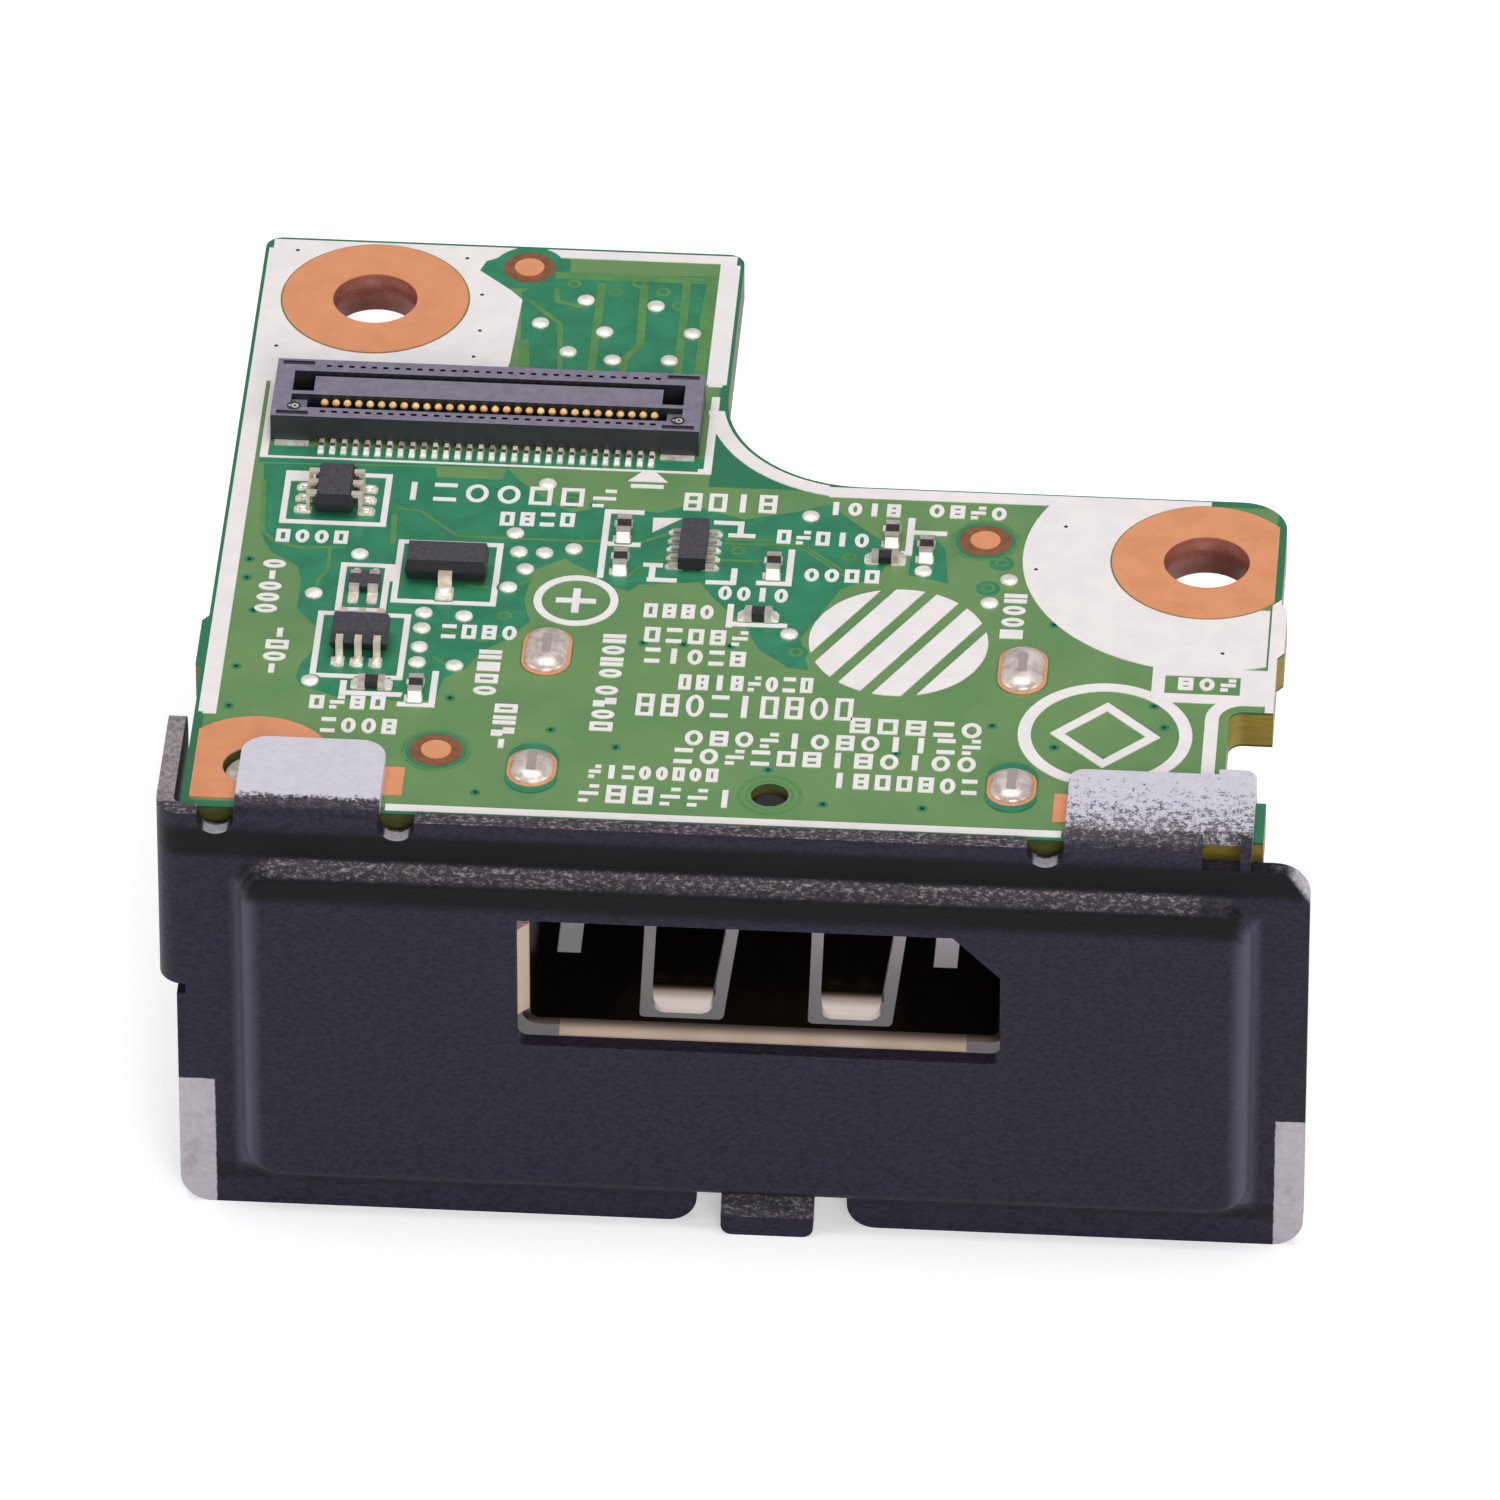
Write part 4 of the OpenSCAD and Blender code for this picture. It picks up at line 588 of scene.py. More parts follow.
def floor_material():
    """White to the camera from above, with a soft painted shade under the port, and open from below."""
    s = Shader("white_floor", (0.9, 0.9, 0.9), 0.9)
    path = s.add("ShaderNodeLightPath")
    seen = s.most(*(path.outputs[f"Is {kind} Ray"] for kind in ("Camera", "Glossy", "Transmission")))
    # Painted shade under the port: a lilac tint, and no glow
    under = s.inside(3, x0=PORT_X - 13, x1=PORT_X + 12, y0=BOARD_LOW[1] + 4.3, y1=SHOULDER + 1.2)
    # What the lamps leave short of white
    glow = 0.36
    s.put("Emission Color", (1, 1, 1, 1))
    s.put("Emission Strength", s.times(seen, s.rest(under), glow))
    s.put("Base Color", s.mix(under, (0.9, 0.9, 0.9), (0.8, 0.7, 0.82)))
    clear = s.add("ShaderNodeBsdfTransparent")
    one_sided = s.add("ShaderNodeMixShader")
    s.feed(one_sided.inputs["Fac"], s.add("ShaderNodeNewGeometry").outputs["Backfacing"])
    s.feed(one_sided.inputs[1], s.bsdf.outputs[0])
    s.feed(one_sided.inputs[2], clear.outputs[0])
    s.feed(s.out.inputs["Surface"], one_sided.outputs[0])
    return s.material


# Pieces


class Solid:
    """Collects closed upright plates and turned shapes into one mesh."""

    def __init__(self):
        self.points = []
        self.faces = []

    def plate(self, outline, z0, z1):
        n = len(outline)
        base = len(self.points)
        self.points += [(x * MM, y * MM, z0 * MM) for x, y in outline]
        self.points += [(x * MM, y * MM, z1 * MM) for x, y in outline]
        self.faces.append([base + i for i in reversed(range(n))])
        self.faces.append([base + n + i for i in range(n)])
        for i in range(n):
            j = (i + 1) % n
            self.faces.append([base + i, base + j, base + n + j, base + n + i])

    def bar(self, x0, y0, x1, y1, z0, z1):
        self.plate([(x0, y0), (x1, y0), (x1, y1), (x0, y1)], z0, z1)

    def disc(self, x, y, r, z0, z1, sides=32):
        self.plate(arc(x, y, r, 0, 360 - 360 / sides, sides), z0, z1)

    def oblong(self, x, y, w, l, z0, z1):
        """A slot shape along y."""
        r = w / 2
        reach = l / 2 - r
        self.plate(arc(x, y + reach, r, 0, 180, 20) + arc(x, y - reach, r, 180, 360, 20), z0, z1)

    def ring(self, x, y, outer, inner, z0, z1, sides=48):
        self.turned(x, y, [(outer, z0), (outer, z1), (inner, z1), (inner, z0)], sides, True)

    def turned(self, x, y, profile, sides, closed=False):
        """A profile of radius and height turned round an upright axis."""
        base = len(self.points)
        n = len(profile)
        for k in range(sides):
            c = math.cos(2 * math.pi * k / sides)
            d = math.sin(2 * math.pi * k / sides)
            self.points += [((x + r * c) * MM, (y + r * d) * MM, z * MM) for r, z in profile]
        for k in range(sides):
            a = base + k * n
            b = base + (k + 1) % sides * n
            for i in range(n if closed else n - 1):
                j = (i + 1) % n
                self.faces.append([a + i, b + i, b + j, a + j])
        if not closed:
            self.faces.append([base + k * n for k in reversed(range(sides))])
            self.faces.append([base + k * n + n - 1 for k in range(sides)])

    def strip(self, path, width, z0, z1):
        """A flat track of one width along a path, with mitred corners."""
        left = []
        right = []
        for i, (x, y) in enumerate(path):
            before = Vector(path[max(i - 1, 0)])
            after = Vector(path[min(i + 1, len(path) - 1)])
            here = Vector((x, y))
            a = (here - before).normalized() if i else (after - here).normalized()
            b = (after - here).normalized() if i < len(path) - 1 else a
            along = (a + b).normalized()
            across = Vector((-along.y, along.x)) * width / 2 / max(along.dot(a), 0.4)
            left.append(tuple(here + across))
            right.append(tuple(here - across))
        self.plate(right + left[::-1], z0, z1)

    def make(self, name, material, smooth=False):
        mesh = bpy.data.meshes.new(name)
        mesh.from_pydata(self.points, [], self.faces)
        mesh.validate()
        obj = bpy.data.objects.new(name, mesh)
        bpy.context.collection.objects.link(obj)
        paint(obj, material)
        if smooth:
            for face in mesh.polygons:
                face.use_smooth = True
        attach(obj, "root")
        return obj


def arc(x, y, r, start, end, count):
    out = []
    for i in range(count):
        turn = math.radians(start + (end - start) * i / (count - 1))
        out.append((x + r * math.cos(turn), y + r * math.sin(turn)))
    return out


def islands(name):
    """The separate lumps of a node's mesh, each as its lowest and highest corner."""
    mesh = NODES[name].data
    places = {}
    group = list(range(len(mesh.vertices)))

    def find(i):
        while group[i] != i:
            group[i] = group[group[i]]
            i = group[i]
        return i

    for v in mesh.vertices:
        key = tuple(round(c / MM, 3) for c in v.co)
        group[find(v.index)] = find(places.setdefault(key, v.index))
    for edge in mesh.edges:
        group[find(edge.vertices[0])] = find(edge.vertices[1])
    lumps = {}
    for v in mesh.vertices:
        lumps.setdefault(find(v.index), []).append([c / MM for c in v.co])
    boxes = []
    for lump in lumps.values():
        columns = list(zip(*lump))
        boxes.append(([min(c) for c in columns], [max(c) for c in columns]))
    return sorted(boxes)


# Green mask: what shows through it lies in thin layers on the board
LAYER = 0.004
STEP = 0.0004
BARE_AREAS = [
    # Round the small parts at the left
    [(1.1, 20.1), (7.1, 20.3), (7.2, 19.7), (9.5, 19.7), (9.6, 20.4), (10.1, 19.7), (11.1, 18.6),
     (12.2, 17.8), (13.1, 17), (13.3, 16), (11.9, 15.1), (11, 14.4), (10.8, 12.6), (11.1, 11.4),
     (10.3, 10.2), (9.6, 9.6), (9.1, 8.5), (8.4, 7.9), (8.2, 6.6), (7.1, 6.5), (4.9, 6.5),
     (4.1, 6.9), (3.5, 7.1), (3.3, 7.7), (3.4, 8.4), (3.7, 9.1), (3.8, 10.5), (3, 11.6),
     (3, 13.3), (2.8, 14.1), (1.8, 14.9), (1.4, 15.8)],
    # Round the array and the chips in the middle
    [(11.9, 17.8), (13, 18.3), (15.1, 18.1), (16.1, 18.6), (18.1, 17.9), (20, 18.5), (21, 19),
     (21.8, 18.1), (22.9, 17), (23.3, 15.9), (23, 14.9), (21.7, 14), (20.5, 11), (20.9, 9.2),
     (20.2, 9.3), (19.1, 10.3), (18.5, 11.7), (17.4, 13.1), (16.8, 14.1), (14.7, 13.8),
     (14.4, 13.4), (13.5, 13.7), (13.2, 14.3), (12.1, 15.1)],
    # Round the vias at the far end
    [(9.3, 31.1), (10.5, 32.3), (16, 32.5), (16.2, 26), (9.6, 26)],
    # Beside the connector's row of feet
    [(0.9, 21.2), (16.4, 21.4), (16.6, 20.6), (13, 20.5), (0.9, 20.2)],
    [(24, 15), (25.4, 14.6), (25.2, 16.6), (24.7, 17.4), (24, 17)],
    # An eight-sided clearing round the target at the far edge
    [(7.75, 32.2), (8.6, 31.3), (10.2, 31.35), (10.9, 32.1), (10.9, 33.1), (10.3, 33.8), (8.5, 33.8),
     (7.75, 33)]]
# Width and path of each track that shows through the mask
TRACKS = [
    (0.13, [(5.9, 17.76), (6.8, 17.64), (8.2, 16.22), (12.3, 16.23), (14.56, 16.27), (15.9, 17.1)]),
    (0.13, [(14.2, 14.16), (14.67, 14.85), (15.5, 15.3)]),
    (0.13, [(17.5, 16.66), (20, 16.74), (22, 14.8)]),
    (0.13, [(17.5, 16.42), (20.05, 16.48), (21.8, 14.75)]),
    (0.13, [(17.1, 15.43), (19, 15.44)]),
    (0.13, [(3.83, 15.24), (3.87, 13.94), (3.58, 13.3), (3.53, 12.6)]),
    (0.15, [(1.2, 19.1), (1.4, 16.1), (1.9, 15.46), (2.8, 15.2), (4.35, 15.3)]),
    (0.2, [(6, 15.6), (5.9, 17.4)]),
    (0.13, [(7.92, 9.09), (8.56, 8.49)]),
    (0.13, [(8, 10.75), (9.6, 10.1), (10.8, 10.9)]),
    (0.13, [(8.7, 13.35), (10.2, 13.3), (10.9, 13.8), (10.95, 14.7)]),
    (0.3, [(12.1, 31.8), (12.1, 26)]),
    (0.3, [(13.6, 31.8), (13.7, 28.1), (13.2, 27.2), (13.2, 26)]),
    (0.3, [(15.1, 32), (15.15, 26)]),
    (0.4, [(16, 32), (15.9, 29.8), (15.95, 26)]),
    (0.2, [(9.6, 30.6), (10.8, 29.2), (11, 26.4)]),
    (0.35, [(9.6, 28.2), (9.75, 26.3)]),
    (0.2, [(10.5, 31.4), (10.6, 30.6), (11.5, 30.3)]),
    (0.4, [(10.4, 32.2), (16.2, 32.2)])]
# Small vias closed by the mask, drawn as a dark dot
DOTS = [
    (1.1, 14.4), (1.1, 13.3), (1.5, 11.4), (1.2, 8.1), (1.15, 5.8), (8.7, 6.75), (12.3, 5.15),
    (10, 1.4), (12.8, 18.4), (15.1, 10.4), (16.5, 10.4), (18.1, 10.4), (14.6, 4.3), (19.9, 3.35),
    (21.9, 1.5), (25.3, 1.5), (22.3, 16.7), (23.9, 10.4), (29.2, 12.4), (32.9, 7.9), (33.3, 6.7),
    (29.6, 5.3), (31.4, 4.7), (28.3, 9.9), (27.4, 6.4), (11.9, 2.2), (24.2, 4.6)]
DOT_R = 0.18
DOT_HOLE_R = 0.075
# Closed vias in the white fields
FIELD_DOTS = [
    (1.15, 33.1), (7.2, 33), (7.9, 30.8), (8, 28.6), (7.9, 27), (0.9, 27.2), (29.3, 18.2),
    (35.1, 11.1), (28.4, 15.6)]
FIELD_DOT_R = 0.07
# Vias ringed by copper under the mask
EYES = [
    (10.2, 11.65), (18, 16), (21.9, 15.9), (20.4, 10.2), (27.2, 15.9), (26.8, 14.4), (11.1, 31.7),
    (12.6, 31.3), (14.3, 31.4), (13.4, 31.9), (14.9, 30.6), (12, 18.6)]
EYE_R = 0.42
EYE_RING_R = (0.26, 0.14)
# Width and length cleared round each leg hole
LEG_CLEARING = (1.8, 2.8)
# Alignment dots in rings of bare laminate, each in a clearing, and thin rings round two of them
FIDUCIALS = [(9.45, 32.6), (26.55, 17.2), (8.47, 3.72)]
LAMINATE_R = (0.92, 0.52)
CLEARING_R = 1.06
THIN_RING_R = (1.2, 1.1)
# The locating hole and the thin rings round it
PEG_HOLE = (20.05, 1.92)
PEG_RINGS_R = ((1.12, 1), (0.84, 0.74))


def mask_layers():
    """The mask's darker areas over bare laminate, its tracks, and its closed vias."""
    green = mottled("mask_over_bare", linear(48, 134, 96), linear(38, 122, 86), 0.34, 0.9,
                    Coat_Weight=0.2, Coat_Roughness=0.2).material
    lighter = mottled("mask_over_copper", linear(92, 142, 80), linear(80, 132, 74), 0.34, 1.5,
                      Coat_Weight=0.2, Coat_Roughness=0.2).material
    dark = mottled("mask_in_hole", linear(16, 54, 34), linear(10, 40, 26), 0.4, 3).material
    # No two plates that overlap have their tops at the same height
    bare = Solid()
    for i, area in enumerate(BARE_AREAS):
        bare.plate([on_board(*p) for p in area], 0, LAYER + i * STEP)
    for x, y in leg_centres():
        bare.oblong(x, y, *LEG_CLEARING, 0, 2 * LAYER)
    for p in FIDUCIALS:
        bare.disc(*on_board(*p), CLEARING_R, 0, 2 * LAYER)
    for i, (x, y) in enumerate(EYES):
        bare.disc(*on_board(x, y), EYE_R, 0, 2 * LAYER + (i + 1) * STEP)
    for x, y in DOTS:
        bare.disc(*on_board(x, y), DOT_R, 0, 2 * LAYER - STEP)
    # The mask laps over the ends of the near pair of leg lands
    for x, y in near_legs():
        for side in (-1, 1):
            far = arc(x, y + side * 0.54, 0.87, 0, side * 180, 20)
            near = arc(x, y + side * 0.22, 0.86, side * 180, 0, 20)
            outline = far + near
            bare.plate(outline if side > 0 else outline[::-1], 0, COPPER_TOP + LAYER)
    bare.make("mask_bare_areas", green)
    light = Solid()
    for i, (width, path) in enumerate(TRACKS):
        light.strip([on_board(*p) for p in path], width, 0, 3 * LAYER + i * STEP)
    for x, y in EYES:
        light.ring(*on_board(x, y), *EYE_RING_R, 0, 5 * LAYER, 24)
    for p in FIDUCIALS[1:]:
        light.ring(*on_board(*p), *THIN_RING_R, 0, 3 * LAYER - STEP)
    for radii in PEG_RINGS_R:
        light.ring(*on_board(*PEG_HOLE), *radii, 0, 3 * LAYER - STEP)
    light.make("mask_tracks", lighter)
    holes = Solid()
    for x, y in DOTS:
        holes.disc(*on_board(x, y), DOT_HOLE_R, 0, 5 * LAYER, 16)
    for x, y in FIELD_DOTS:
        holes.disc(*on_board(x, y), FIELD_DOT_R, 0, PRINT_TOP + LAYER, 12)
    holes.make("mask_closed_vias", dark)
    brown = mottled("bare_laminate", linear(138, 84, 52), linear(118, 72, 42), 0.6, 3).material
    rings = Solid()
    for p in FIDUCIALS:
        rings.ring(*on_board(*p), *LAMINATE_R, 0, 3 * LAYER)
    rings.make("laminate_rings", brown)


def leg_centres():
    lumps = islands("shell_solder_joints")
    return [((low[0] + high[0]) / 2, (low[1] + high[1]) / 2) for low, high in lumps]


def near_legs():
    centres = leg_centres()
    nearest = min(y for x, y in centres)
    return [(x, y) for x, y in centres if y < nearest + 1]


def leg_joints(material):
    """Solder domes round the port's legs: long ones at the far pair, rounder ones at the near pair."""
    domes = Solid()
    near = near_legs()
    for x, y in leg_centres():
        reach = 0.22 if (x, y) in near else 0.52
        blob(domes, x, y, (0.76, 0.76), COPPER_TOP - 0.02, 0.36, reach)
    piece = domes.make("leg_joints", material, True)
    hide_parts("shell_solder_joints")


def tab_boss(material):
    """The left tab's pressed boss, seen at the edge of the board's third hole."""
    boss = Solid()
    profile = [(0.98, -0.9), (0.98, -0.32), (0.88, -0.22), (0.3, -0.16)]
    boss.turned(*THIRD_HOLE, profile, 40)
    boss.make("tab_boss", material, True)


def hole_sleeves():
    """Plating on the walls of the two screw holes."""
    walls = Solid()
    top = BOARD_HIGH[2] + 0.01
    for x, y in (LEFT_HOLE, RIGHT_HOLE):
        walls.ring(x, y, HOLE_R + 0.01, HOLE_R - 0.03, BOARD_LOW[2] - 0.01, top, 64)
    s = Shader("plated_hole_wall", rough=0.5, metal=0.3)
    s.put("Base Color", s.mix(s.noise(3, 4, 0.7), linear(104, 54, 46), linear(158, 88, 70)))
    s.bump(s.noise(7, 3, 0.6), 0.02, 0.6)
    walls.make("hole_plating", s.material, True)


def via_domes(material):
    """Each open via is filled with a low dome of solder."""
    domes = Solid()
    for low, high in islands("tinned_vias"):
        x = (low[0] + high[0]) / 2
        y = (low[1] + high[1]) / 2
        r = (high[0] - low[0]) / 2
        rise = 0.1
        turns = [t * math.pi / 12 for t in range(6)]
        profile = [(r, COPPER_TOP - 0.01)]
        profile += [(r * math.cos(t), COPPER_TOP + rise * math.sin(t)) for t in turns]
        domes.turned(x, y, profile, 24)
    domes.make("via_domes", material, True)


# Generic marks where the board carries print: rows of plain shapes
ROWS = [
    # x0, y0, x1, y1, height, count
    (5.9, 18.8, 13.7, 18.8, 1.05, 7), (15.8, 18.8, 19.3, 18.85, 1.05, 4),
    (9.5, 17.35, 12.3, 17.45, 0.8, 4),
    (1.8, 15.85, 4.5, 15.88, 0.75, 4), (8, 10.6, 10.8, 10.65, 0.8, 4),
    (3.8, 6.2, 6.6, 6.3, 0.75, 4), (4.3, 4.9, 7.1, 4.95, 0.85, 4),
    (14.9, 12.3, 17.5, 12.33, 0.8, 4), (15, 10.9, 18.8, 10.85, 0.85, 5),
    (15.1, 9.7, 18.8, 9.65, 0.85, 5), (16.4, 8.2, 21.2, 8.3, 0.85, 8),
    (15, 6.8, 22.7, 7, 1.25, 9), (22.4, 6.1, 27.2, 6.05, 0.85, 5),
    (16.8, 5, 27.2, 5.1, 0.85, 12), (16.5, 3.95, 27.1, 4.1, 0.85, 12),
    (22, 2.9, 27.2, 2.8, 0.85, 7), (13.7, 2.85, 18.3, 2.9, 0.75, 8),
    (13.4, 1.6, 19, 1.57, 1, 6), (20.9, 18.75, 23.6, 18.75, 0.75, 4),
    (24.4, 18.85, 27.3, 18.8, 0.75, 4), (19.2, 16.95, 22.6, 16.9, 0.8, 5),
    (20.3, 14.75, 23.1, 14.8, 0.75, 4), (17.4, 13.5, 20, 13.45, 0.8, 4),
    (33.55, 9.27, 35.75, 9.27, 0.7, 3)]
COLUMNS = [
    # x0, y0, x1, y1, height, count
    (2, 14.5, 1.9, 11.2, 0.8, 5), (2.55, 10.5, 2.4, 7.7, 0.8, 4), (9.9, 9.7, 9.85, 6.9, 0.8, 4),
    (10.68, 6.6, 10.65, 3.9, 0.8, 4), (14.1, 10.9, 14.1, 8.2, 0.8, 4), (14.05, 7.9, 14, 5.1, 0.8, 4),
    (27.8, 14.2, 27.75, 11.4, 0.8, 4)]
STROKE = 0.17
DISC = (23.9, 11.0)
DISC_R = 3.1
SMALL_RING = (12.6, 12.7)
BIG_RING = (31.3, 6.1)
# Strips x0, x1, y0 that widen the white frame towards the board's edge, up to one height
FRAME_STRIPS = ((0.13, 0.42, 5.4), (16.65, 16.92, 25.9))
STRIP_END = 33.2


def mark(solid, x, y, w, h, kind):
    """One plain shape of a row."""
    z = PRINT_TOP
    half = STROKE / 2
    left, right, low, high = x - w / 2, x + w / 2, y - h / 2, y + h / 2
    if kind in ("box", "split"):
        solid.bar(left, low, right, low + STROKE, 0, z)
        solid.bar(left, high - STROKE, right, high, 0, z)
        solid.bar(left, low + STROKE, left + STROKE, high - STROKE, 0, z)
        solid.bar(right - STROKE, low + STROKE, right, high - STROKE, 0, z)
    if kind == "split":
        solid.bar(left + STROKE, y - half, right - STROKE, y + half, 0, z)
    if kind == "bar":
        solid.bar(x - half * 1.2, low, x + half * 1.2, high, 0, z)
    if kind == "pair":
        solid.bar(left, low, right, low + STROKE * 1.2, 0, z)
        solid.bar(left, high - STROKE * 1.2, right, high, 0, z)
    if kind == "round":
        n = 24
        for i in range(n):
            a, b = math.tau * i / n, math.tau * (i + 1) / n
            wi, hi = w / 2 - STROKE, h / 2 - STROKE
            solid.plate([
                (x + wi * math.cos(a), y + hi * math.sin(a)),
                (x + w / 2 * math.cos(a), y + h / 2 * math.sin(a)),
                (x + w / 2 * math.cos(b), y + h / 2 * math.sin(b)),
                (x + wi * math.cos(b), y + hi * math.sin(b))], 0, z)
    if kind == "steps":
        solid.bar(left, low, x, low + STROKE, 0, z)
        solid.bar(left, y - half, right, y + half, 0, z)
        solid.bar(x, high - STROKE, right, high, 0, z)


def print_marks(material):
    solid = Solid()
    rand = random.Random(7)
    for rows, turned in ((ROWS, False), (COLUMNS, True)):
        for x0, y0, x1, y1, height, count in rows:
            pitch = math.hypot(x1 - x0, y1 - y0) / count
            for i in range(count):
                t = (i + 0.5) / count
                x, y = on_board(x0 + (x1 - x0) * t, y0 + (y1 - y0) * t)
                kind = rand.choice(("box", "pair", "bar", "round", "split", "round", "steps"))
                w = pitch * 0.72
                mark(solid, x, y, *((height, w) if turned else (w, height)), kind)
    # A plain disc with diagonal slots, and a plain mark inside each ring
    hatched_disc(solid, *on_board(*DISC), DISC_R)
    for x0, x1, y0 in FRAME_STRIPS:
        solid.bar(*on_board(x0, y0), *on_board(x1, STRIP_END), 0, PRINT_TOP - STEP)
    x, y = on_board(*SMALL_RING)
    arm = 0.7
    half = 0.13
    solid.bar(x - arm, y - half, x + arm, y + half, 0, PRINT_TOP)
    solid.bar(x - half, y + half, x + half, y + arm, 0, PRINT_TOP)
    solid.bar(x - half, y - arm, x + half, y - half, 0, PRINT_TOP)
    x, y = on_board(*BIG_RING)
    outer = 1.9
    inner = 1.4
    for side in (-1, 1):
        # A square on its corner, in four strokes
        solid.plate([(x, y + side * outer), (x - side * outer, y), (x - side * inner, y),
                     (x, y + side * inner)], 0, PRINT_TOP)
        solid.plate([(x, y + side * inner), (x + side * inner, y), (x + side * outer, y),
                     (x, y + side * outer)], 0, PRINT_TOP)
    solid.make("print_marks", material)


def hatched_disc(solid, x, y, r):
    """A disc cut into slanted bands, with a green gap between each two."""
    gap = 0.42
    bands = 5
    slope = math.radians(60)
    c, d = math.cos(slope), math.sin(slope)
    width = (2 * r - gap * (bands - 1)) / bands
    for k in range(bands):
        u0 = -r + k * (width + gap)
        u1 = u0 + width
        steps = 14
        upper = []
        lower = []
        for i in range(steps + 1):
            u = u0 + (u1 - u0) * i / steps
            v = math.sqrt(max(r * r - u * u, 0))
            upper.append((x + u * d + v * c, y - u * c + v * d))
            lower.append((x + u * d - v * c, y - u * c - v * d))
        outline = lower + upper[::-1]
        tidy = [p for i, p in enumerate(outline) if math.dist(p, outline[i - 1]) > 0.002]
        solid.plate(tidy, 0, PRINT_TOP)


def connector_detail(leads):
    """The board connector's latch tips and rounded contact tips, with thin dark plates along both rims and
    at the latches as painted shade in its openings.
    """
    slot_shade = Solid()
    top = PLUG_HIGH[2]
    sunk = top - 0.02
    # Dark plates on the housing's top: painted shade in the openings along both rims
    for low, high in islands("board_connector_near_contacts"):
        x = (low[0] + high[0]) / 2
        slot_shade.bar(x - 0.1, PLUG_LOW[1] + 0.28, x + 0.1, PLUG_LOW[1] + 0.4, sunk, top)
        slot_shade.bar(x - 0.09, PLUG_HIGH[1] - 0.42, x + 0.09, PLUG_HIGH[1] - 0.3, sunk, top)
    tips = Solid()
    # At each latch a dark disc is painted shade in its recess
    for x in (PLUG_LOW[0] + 0.78, PLUG_HIGH[0] - 0.78):
        y = PLUG_LOW[1] + 0.62
        slot_shade.disc(x, y, 0.25, sunk, top + 0.001, 24)
        tips.ring(x + 0.04, y, 0.13, 0.06, sunk, top + 0.012, 24)
        tips.bar(x - 0.18, y - 0.05, x - 0.12, y + 0.06, sunk, top + 0.01)
    tips.make("latch_tips", leads)
    dark = mottled("slot_shadow", linear(26, 24, 34), linear(40, 36, 48), 0.6, 4).material
    slot_shade.make("housing_slot_shade", dark)
    # The near row of contacts stands in the slot
    gold_tips = Solid()
    for low, high in islands("board_connector_near_contacts"):
        blob(gold_tips, (low[0] + high[0]) / 2, high[1] - 0.15, (0.14, 0.16), high[2] - 0.08, 0.15)
    # Lighter, matt gold: a painted highlight on the contact tips
    bead = mottled("gold_tips", linear(226, 168, 92), linear(255, 214, 142), 0.3, 3).material
    gold_tips.make("contact_tips", bead, True)


def lead_solder(material):
    """A low fillet of solder round the foot of each lead of the small parts."""
    inset = 0.14
    spread = 0.26
    solid = Solid()
    for name in ("twin_transistor_a_leads", "twin_transistor_b_leads", "transistor_leads"):
        for low, high in islands(name):
            wide = high[0] - low[0]
            deep = high[1] - low[1]
            part_low, part_high = corners(name.replace("_leads", "_body"))
            x = (low[0] + high[0]) / 2
            y = (low[1] + high[1]) / 2
            if wide > deep:
                x = low[0] + inset if x < (part_low[0] + part_high[0]) / 2 else high[0] - inset
                size = (spread, deep / 2 + 0.05)
            else:
                y = low[1] + inset if y < (part_low[1] + part_high[1]) / 2 else high[1] - inset
                size = (wide / 2 + 0.06, spread)
            blob(solid, x, y, size, 0.06, 0.17)
    solid.make("lead_solder", material, True)


def blob(solid, x, y, size, z, rise, reach=0):
    """Half an ellipsoid standing on the height z, drawn out along y by a reach each way."""
    base = len(solid.points)
    rings = 5
    sides = 20
    for i in range(rings):
        t = i / rings * math.pi / 2
        for k in range(sides):
            a = 2 * math.pi * k / sides
            solid.points.append((
                (x + size[0] * math.cos(t) * math.cos(a)) * MM,
                (y + size[1] * math.cos(t) * math.sin(a) + math.copysign(reach, math.sin(a + 1e-6))) * MM,
                (z + rise * math.sin(t)) * MM))
    for i in range(rings - 1):
        for k in range(sides):
            j = (k + 1) % sides
            a = base + i * sides
            solid.faces.append([a + k, a + j, a + sides + j, a + sides + k])
    solid.faces.append([base + k for k in reversed(range(sides))])
    solid.faces.append([base + (rings - 1) * sides + k for k in range(sides)])


def studio_floor():
    z = cad_box[0][2]
    reach = 3
    mesh = bpy.data.meshes.new("floor")
    mesh.from_pydata([(-reach, -reach, z), (reach, -reach, z), (reach, reach, z), (-reach, reach, z)],
                     [], [(0, 1, 2, 3)])
    floor = bpy.data.objects.new("floor", mesh)
    bpy.context.collection.objects.link(floor)
    paint(floor, floor_material())


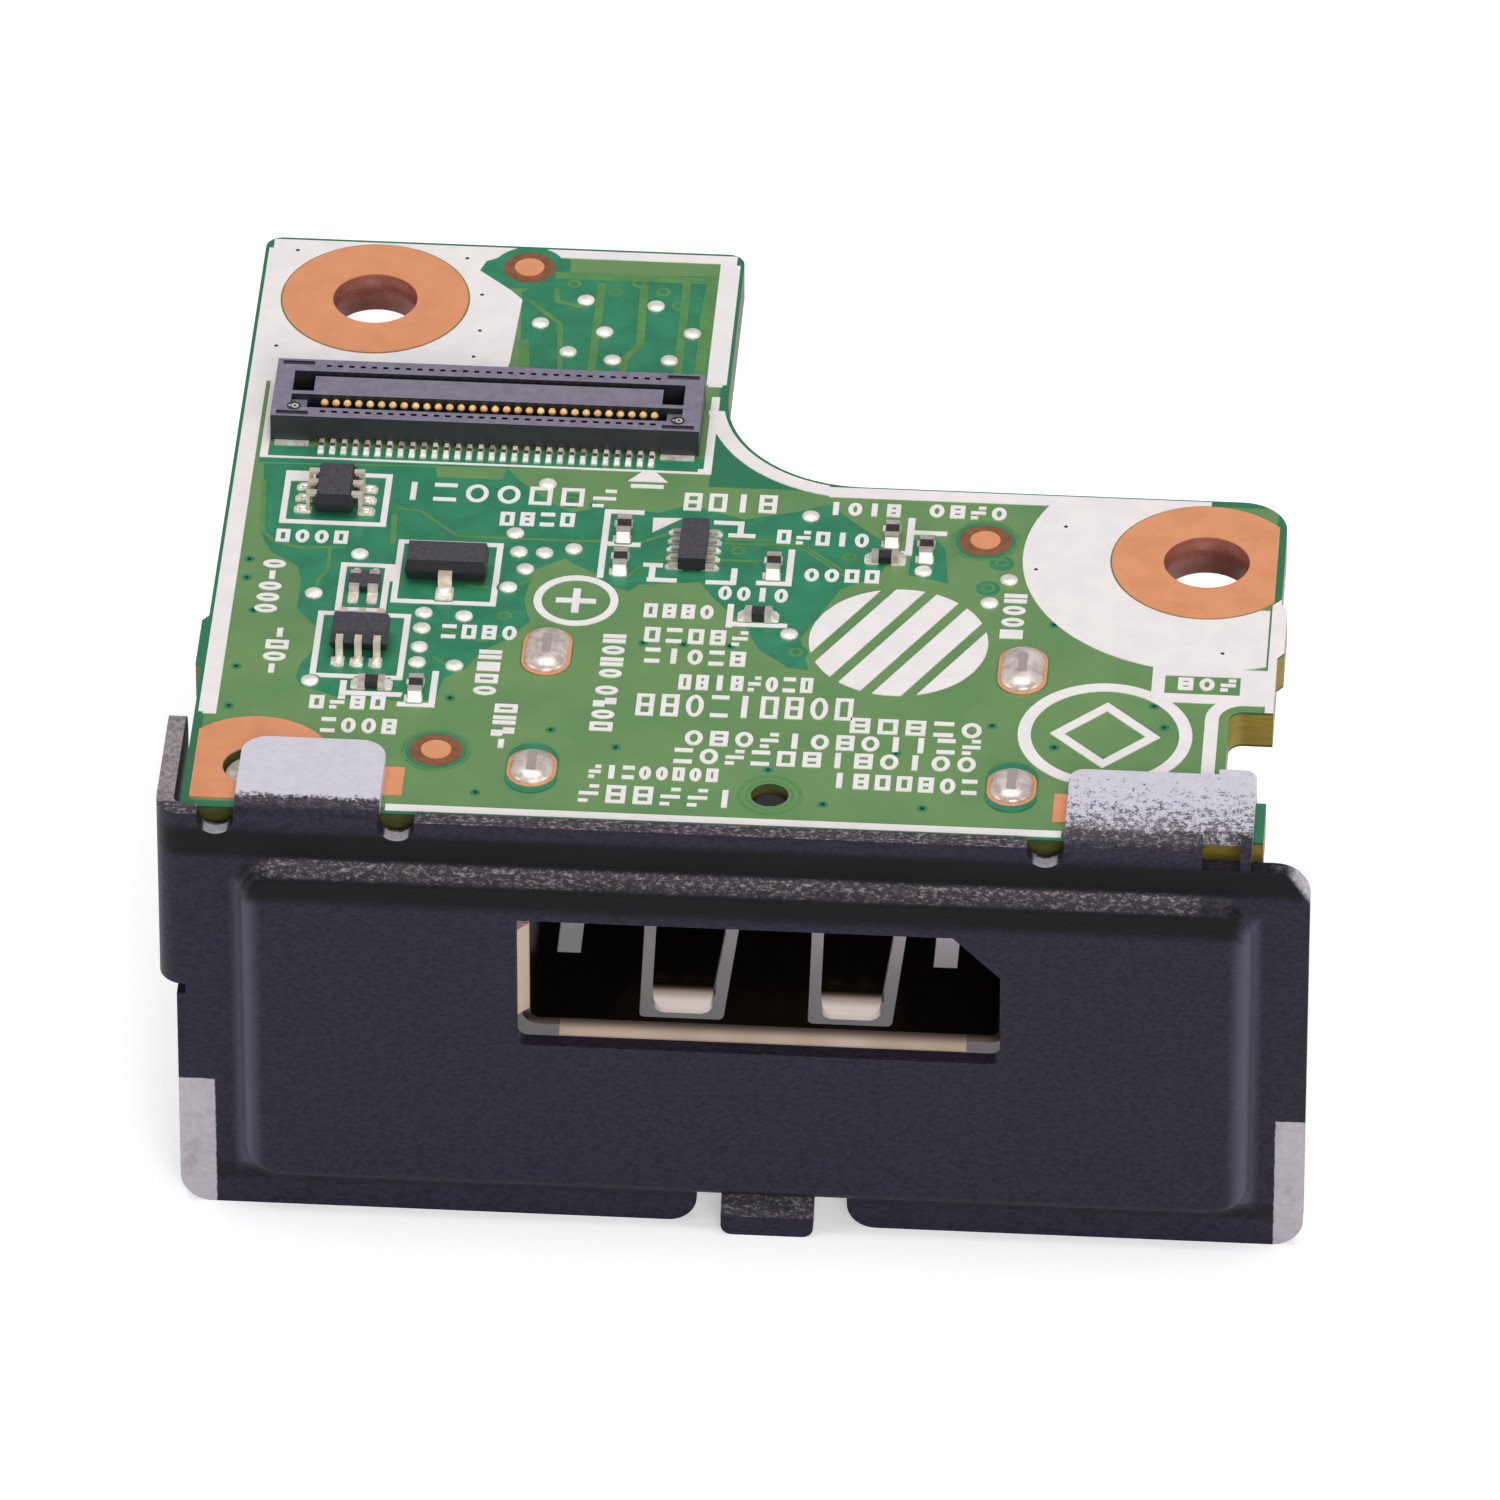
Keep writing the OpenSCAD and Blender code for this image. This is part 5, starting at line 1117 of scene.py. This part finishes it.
def dress_nodes(solder, white, leads):
    black = moulding_material("black_moulding", linear(56, 52, 60), linear(74, 69, 78), 0.5)
    chip_black = moulding_material("chip_body", linear(36, 30, 34), linear(58, 49, 53), 0.4)
    gold = gold_material()
    caps = lead_material("tinned_caps", linear(150, 140, 132), linear(232, 224, 212))
    shell = shell_material()
    by_name = {
        "circuit_board": board_material(), "copper_lands": copper_material(), "white_print": white,
        "tinned_vias": solder, "mounting_bracket": bracket_material(), "port_shell": shell,
        "port_insulator": moulding_material("port_plastic", linear(24, 24, 26), linear(34, 34, 38), 0.5),
        "port_contacts_upper": gold, "port_contacts_lower": gold,
        "shell_solder_joints": solder,
        "component_solder": solder,
        "board_connector_housing": housing_material(), "board_connector_hold_downs": hold_down_material(),
        "board_connector_near_contacts": foot_material("near_contacts", PLUG_LOW[1], -1),
        "board_connector_far_contacts": foot_material("far_contacts", PLUG_HIGH[1], 1)}
    for name, obj in NODES.items():
        material = by_name.get(name)
        if material is None and name.endswith("_leads"):
            material = leads
        if material is None and name.endswith(("_terminals", "_caps")):
            material = caps
        if material is None:
            material = chip_black if name.startswith("chip_") else black
        paint(obj, material)


camera()
world()
studio_floor()
middle = (0.015, -0.015, 0)
lamp("key", (0.02, 0.1, 0.9), middle, (0.8, 0.6), 5.4)
lamp("fill", (0.2, -0.85, 0.4), middle, (0.5, 0.4), 4.2)
lamp("left_strip", (-0.6, -0.22, 0.12), middle, (0.25, 0.3), 1.1)
lamp("right_strip", (0.62, -0.22, 0.12), middle, (0.25, 0.3), 1.1)
solder = solder_material("bright_solder", 0.3, linear(222, 212, 196), linear(252, 248, 238))
white = print_material()
leads = lead_material("tinned_leads", linear(196, 178, 154), linear(250, 242, 228))
dress_nodes(solder, white, leads)
mask_layers()
hole_sleeves()
via_domes(solder_material("via_solder", 0.4, linear(240, 234, 220), linear(250, 247, 238)))
leg_joints(solder_material("joint_solder", 0.3, linear(204, 188, 180), linear(234, 221, 213)))
tab_boss(solder)
print_marks(white)
connector_detail(leads)
lead_solder(solder)

bpy.context.scene.view_settings.view_transform = "Standard"
